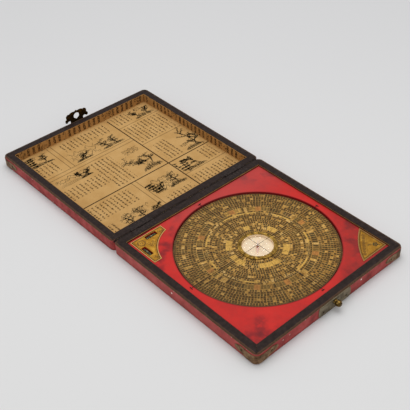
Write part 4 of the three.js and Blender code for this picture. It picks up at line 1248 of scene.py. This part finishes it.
def plum(x, y, size, heading):
    bough = wander((x, y), heading, size, 22, 8)
    found = [(bough, 1.3), ([(px + 0.7, py - 0.4) for px, py in bough], 0.5)]
    for spot in bough[2:]:
        twig = wander(spot, heading + brush.uniform(-75, 75), size * 0.34, 16, 4)
        found.append((twig, 0.6))
        for flower in twig[1:]:
            found += [(curl(*flower, 0, 330, 1.0, 1.0, 6), 0.5)] + foliage(*flower, 1.3, 1.0, 4)
    return found


# %% Land and water
def rock(x, y, width, height):
    found = []
    outline = [(-1.0, 0.0), (-0.8, 0.5), (-0.4, 0.8), (-0.1, 1.0), (0.5, 0.8), (0.8, 0.5), (1.0, 0.1)]
    for number in range(7):
        share = (number + 0.5) / 7 - 0.5
        top = height * (1 - 3.0 * share * share) * brush.uniform(0.6, 1.1)
        reach, middle = width * brush.uniform(0.1, 0.2), x + share * width
        for shrink in (1.0, 0.72, 0.45):
            found.append(([(middle + reach * a * shrink + brush.uniform(-0.3, 0.3), y + top * b * shrink)
                           for a, b in outline], 0.55))
        for _ in range(6):
            start = (middle + reach * brush.uniform(-0.7, 0.7), y + top * brush.uniform(0.2, 0.9))
            found.append((wander(start, brush.uniform(-120, -60), height * 0.25, 20, 3), 0.5))
    return found


def hills(x, y, width, height, count=3):
    found = []
    for number in range(count):
        base, tall = y + number * height / count, height / count * brush.uniform(0.7, 1.3)
        shift = brush.uniform(0, 6)
        rise = [abs(math.sin(n * 0.55 + shift)) * (0.6 + 0.4 * math.sin(n * 1.7)) for n in range(17)]
        ridge = [(x + (n / 16 - 0.5) * width, base + tall * rise[n]) for n in range(17)]
        found.append((ridge, 0.55))
        for n in range(1, 16):
            found.append((wander(ridge[n], brush.uniform(-125, -55), tall * 0.5, 15, 3), 0.4))
    return found


def ripples(x, y, width, rows):
    found = []
    for row in range(rows):
        long, base = width * brush.uniform(0.6, 1.0), y + row * 1.9
        found.append(([(x + (n / 8 - 0.5) * long, base + 0.5 * math.sin(n * 1.9 + row))
                       for n in range(9)], 0.5))
    return found


# %% Pictures on the lining
pictures = {
    "a_cliff": rock(17, -24, 24, 14) + rock(12, -8, 12, 12) + pine(12, -12, 34, -12)
    + pine(22, -14, 26, 16) + hills(16, 18, 22, 12),
    "a_lake": ripples(-66, 18, 46, 3) + hills(-70, 25, 40, 9, 2) + pine(-50, 19, 16, 10)
    + pine(-57, 21, 13, -8) + rock(-52, 18, 14, 5),
    "a_grove": bamboo(-92, 73, 22) + rock(-76, 73, 26, 8) + pine(-72, 77, 19, 16)
    + foliage(-84, 92, 7, 3, 40),
    "mountains": hills(-28, 50, 40, 20) + pine(4, 48, 25, -10) + pine(16, 48, 22, 14)
    + rock(10, 47, 28, 8) + pine(-36, 49, 18, 8) + rock(-34, 47, 20, 6),
    "plum": plum(90, -24, 36, 116) + plum(86, -24, 26, 90) + rock(82, -27, 24, 9)
    + foliage(72, -14, 5, 3, 30),
    "a_garden": rock(80, 73, 26, 11) + pine(72, 77, 18, -12) + pine(87, 77, 19, 12)
    + foliage(80, 92, 6, 3, 40),
    "pines": pine(-62, -94, 27, -8) + pine(-48, -94, 29, 10) + pine(-37, -93, 22, 18)
    + rock(-50, -95, 36, 8) + hills(-52, -76, 40, 8, 1),
    "a_valley": hills(4, -68, 36, 26, 4) + pine(20, -68, 27, 10) + rock(18, -70, 22, 9)
    + bamboo(-12, -69, 22) + pine(-2, -69, 20, -14),
    "bamboo": bamboo(40, -59, 23) + rock(56, -60, 26, 9) + plum(64, -56, 20, 112)
    + foliage(50, -40, 5, 3, 25),
}
place = new_finish("brush_ink", roughness=0.75, specular=0.1)
soaked = effect(patches, place, 3.5, 2.0)
dress("brush_ink", steps_of_colour(soaked, (0.1, "33291a"), (0.6, "463a24"), (1.0, "6e5a36")))
for title, drawn in pictures.items():
    in_lid = [([(x, y + lid_middle) for x, y in points], width) for points, width in drawn]
    stroke_piece("picture_of_" + title, in_lid, lining_floor, "lid", "lining_paper", "brush_ink")
    reach = max(max(abs(x), abs(y)) for points, width in drawn for x, y in points)
    print("  reaches", round(reach, 1), "of", lining_half)

# %% [markdown]
# ## Floor and light
# The object lies on a pale grey sheet. One wide soft lamp overhead and an even pale sky light
# it at a plain level, at which a colour looks about as it is written.

# %% Floor
place = new_finish("floor_paint", roughness=0.85, specular=0.1)
x, y, _ = split(place)
# painted shade: the sheet is a little darker towards the back
dress("floor_paint", laid_over(between(x * 0.7 + y * 0.7, -300.0, 700.0), "e6e6e6", "d8d8d9"))
floor_shape = bmesh.new()
bmesh.ops.create_grid(floor_shape, x_segments=2, y_segments=2, size=4.0)
floor_mesh = bpy.data.meshes.new("floor")
set_in_place(floor_shape, moved(0, 0, -0.05)).to_mesh(floor_mesh)
floor_shape.free()
floor_mesh.materials.append(finishes["floor_paint"])
floor = bpy.data.objects.new("floor", floor_mesh)
bpy.context.scene.collection.objects.link(floor)

# %% Lamp
lamp_place, lamp_aim = Vector((0.25, 0.35, 1.7)), Vector((0, 0.11, 0))
light = bpy.data.lights.new("overhead_lamp", "AREA")
light.shape, light.size, light.energy = "SQUARE", 1.5, 12.5
lamp = bpy.data.objects.new("overhead_lamp", light)
lamp.location = lamp_place
lamp.rotation_mode = "QUATERNION"
lamp.rotation_quaternion = (lamp_aim - lamp_place).to_track_quat("-Z", "Y")
bpy.context.scene.collection.objects.link(lamp)
print("lamp:", light.energy, "W")

# %% Sky
world = bpy.data.worlds.new("pale_sky")
world.use_nodes = True
sky = world.node_tree.nodes["Background"].inputs
plug(sky["Color"], (1, 1, 1, 1))
plug(sky["Strength"], 0.62)
bpy.context.scene.world = world
bpy.context.scene.view_settings.view_transform = "Standard"
print("sky:", sky["Strength"].default_value)
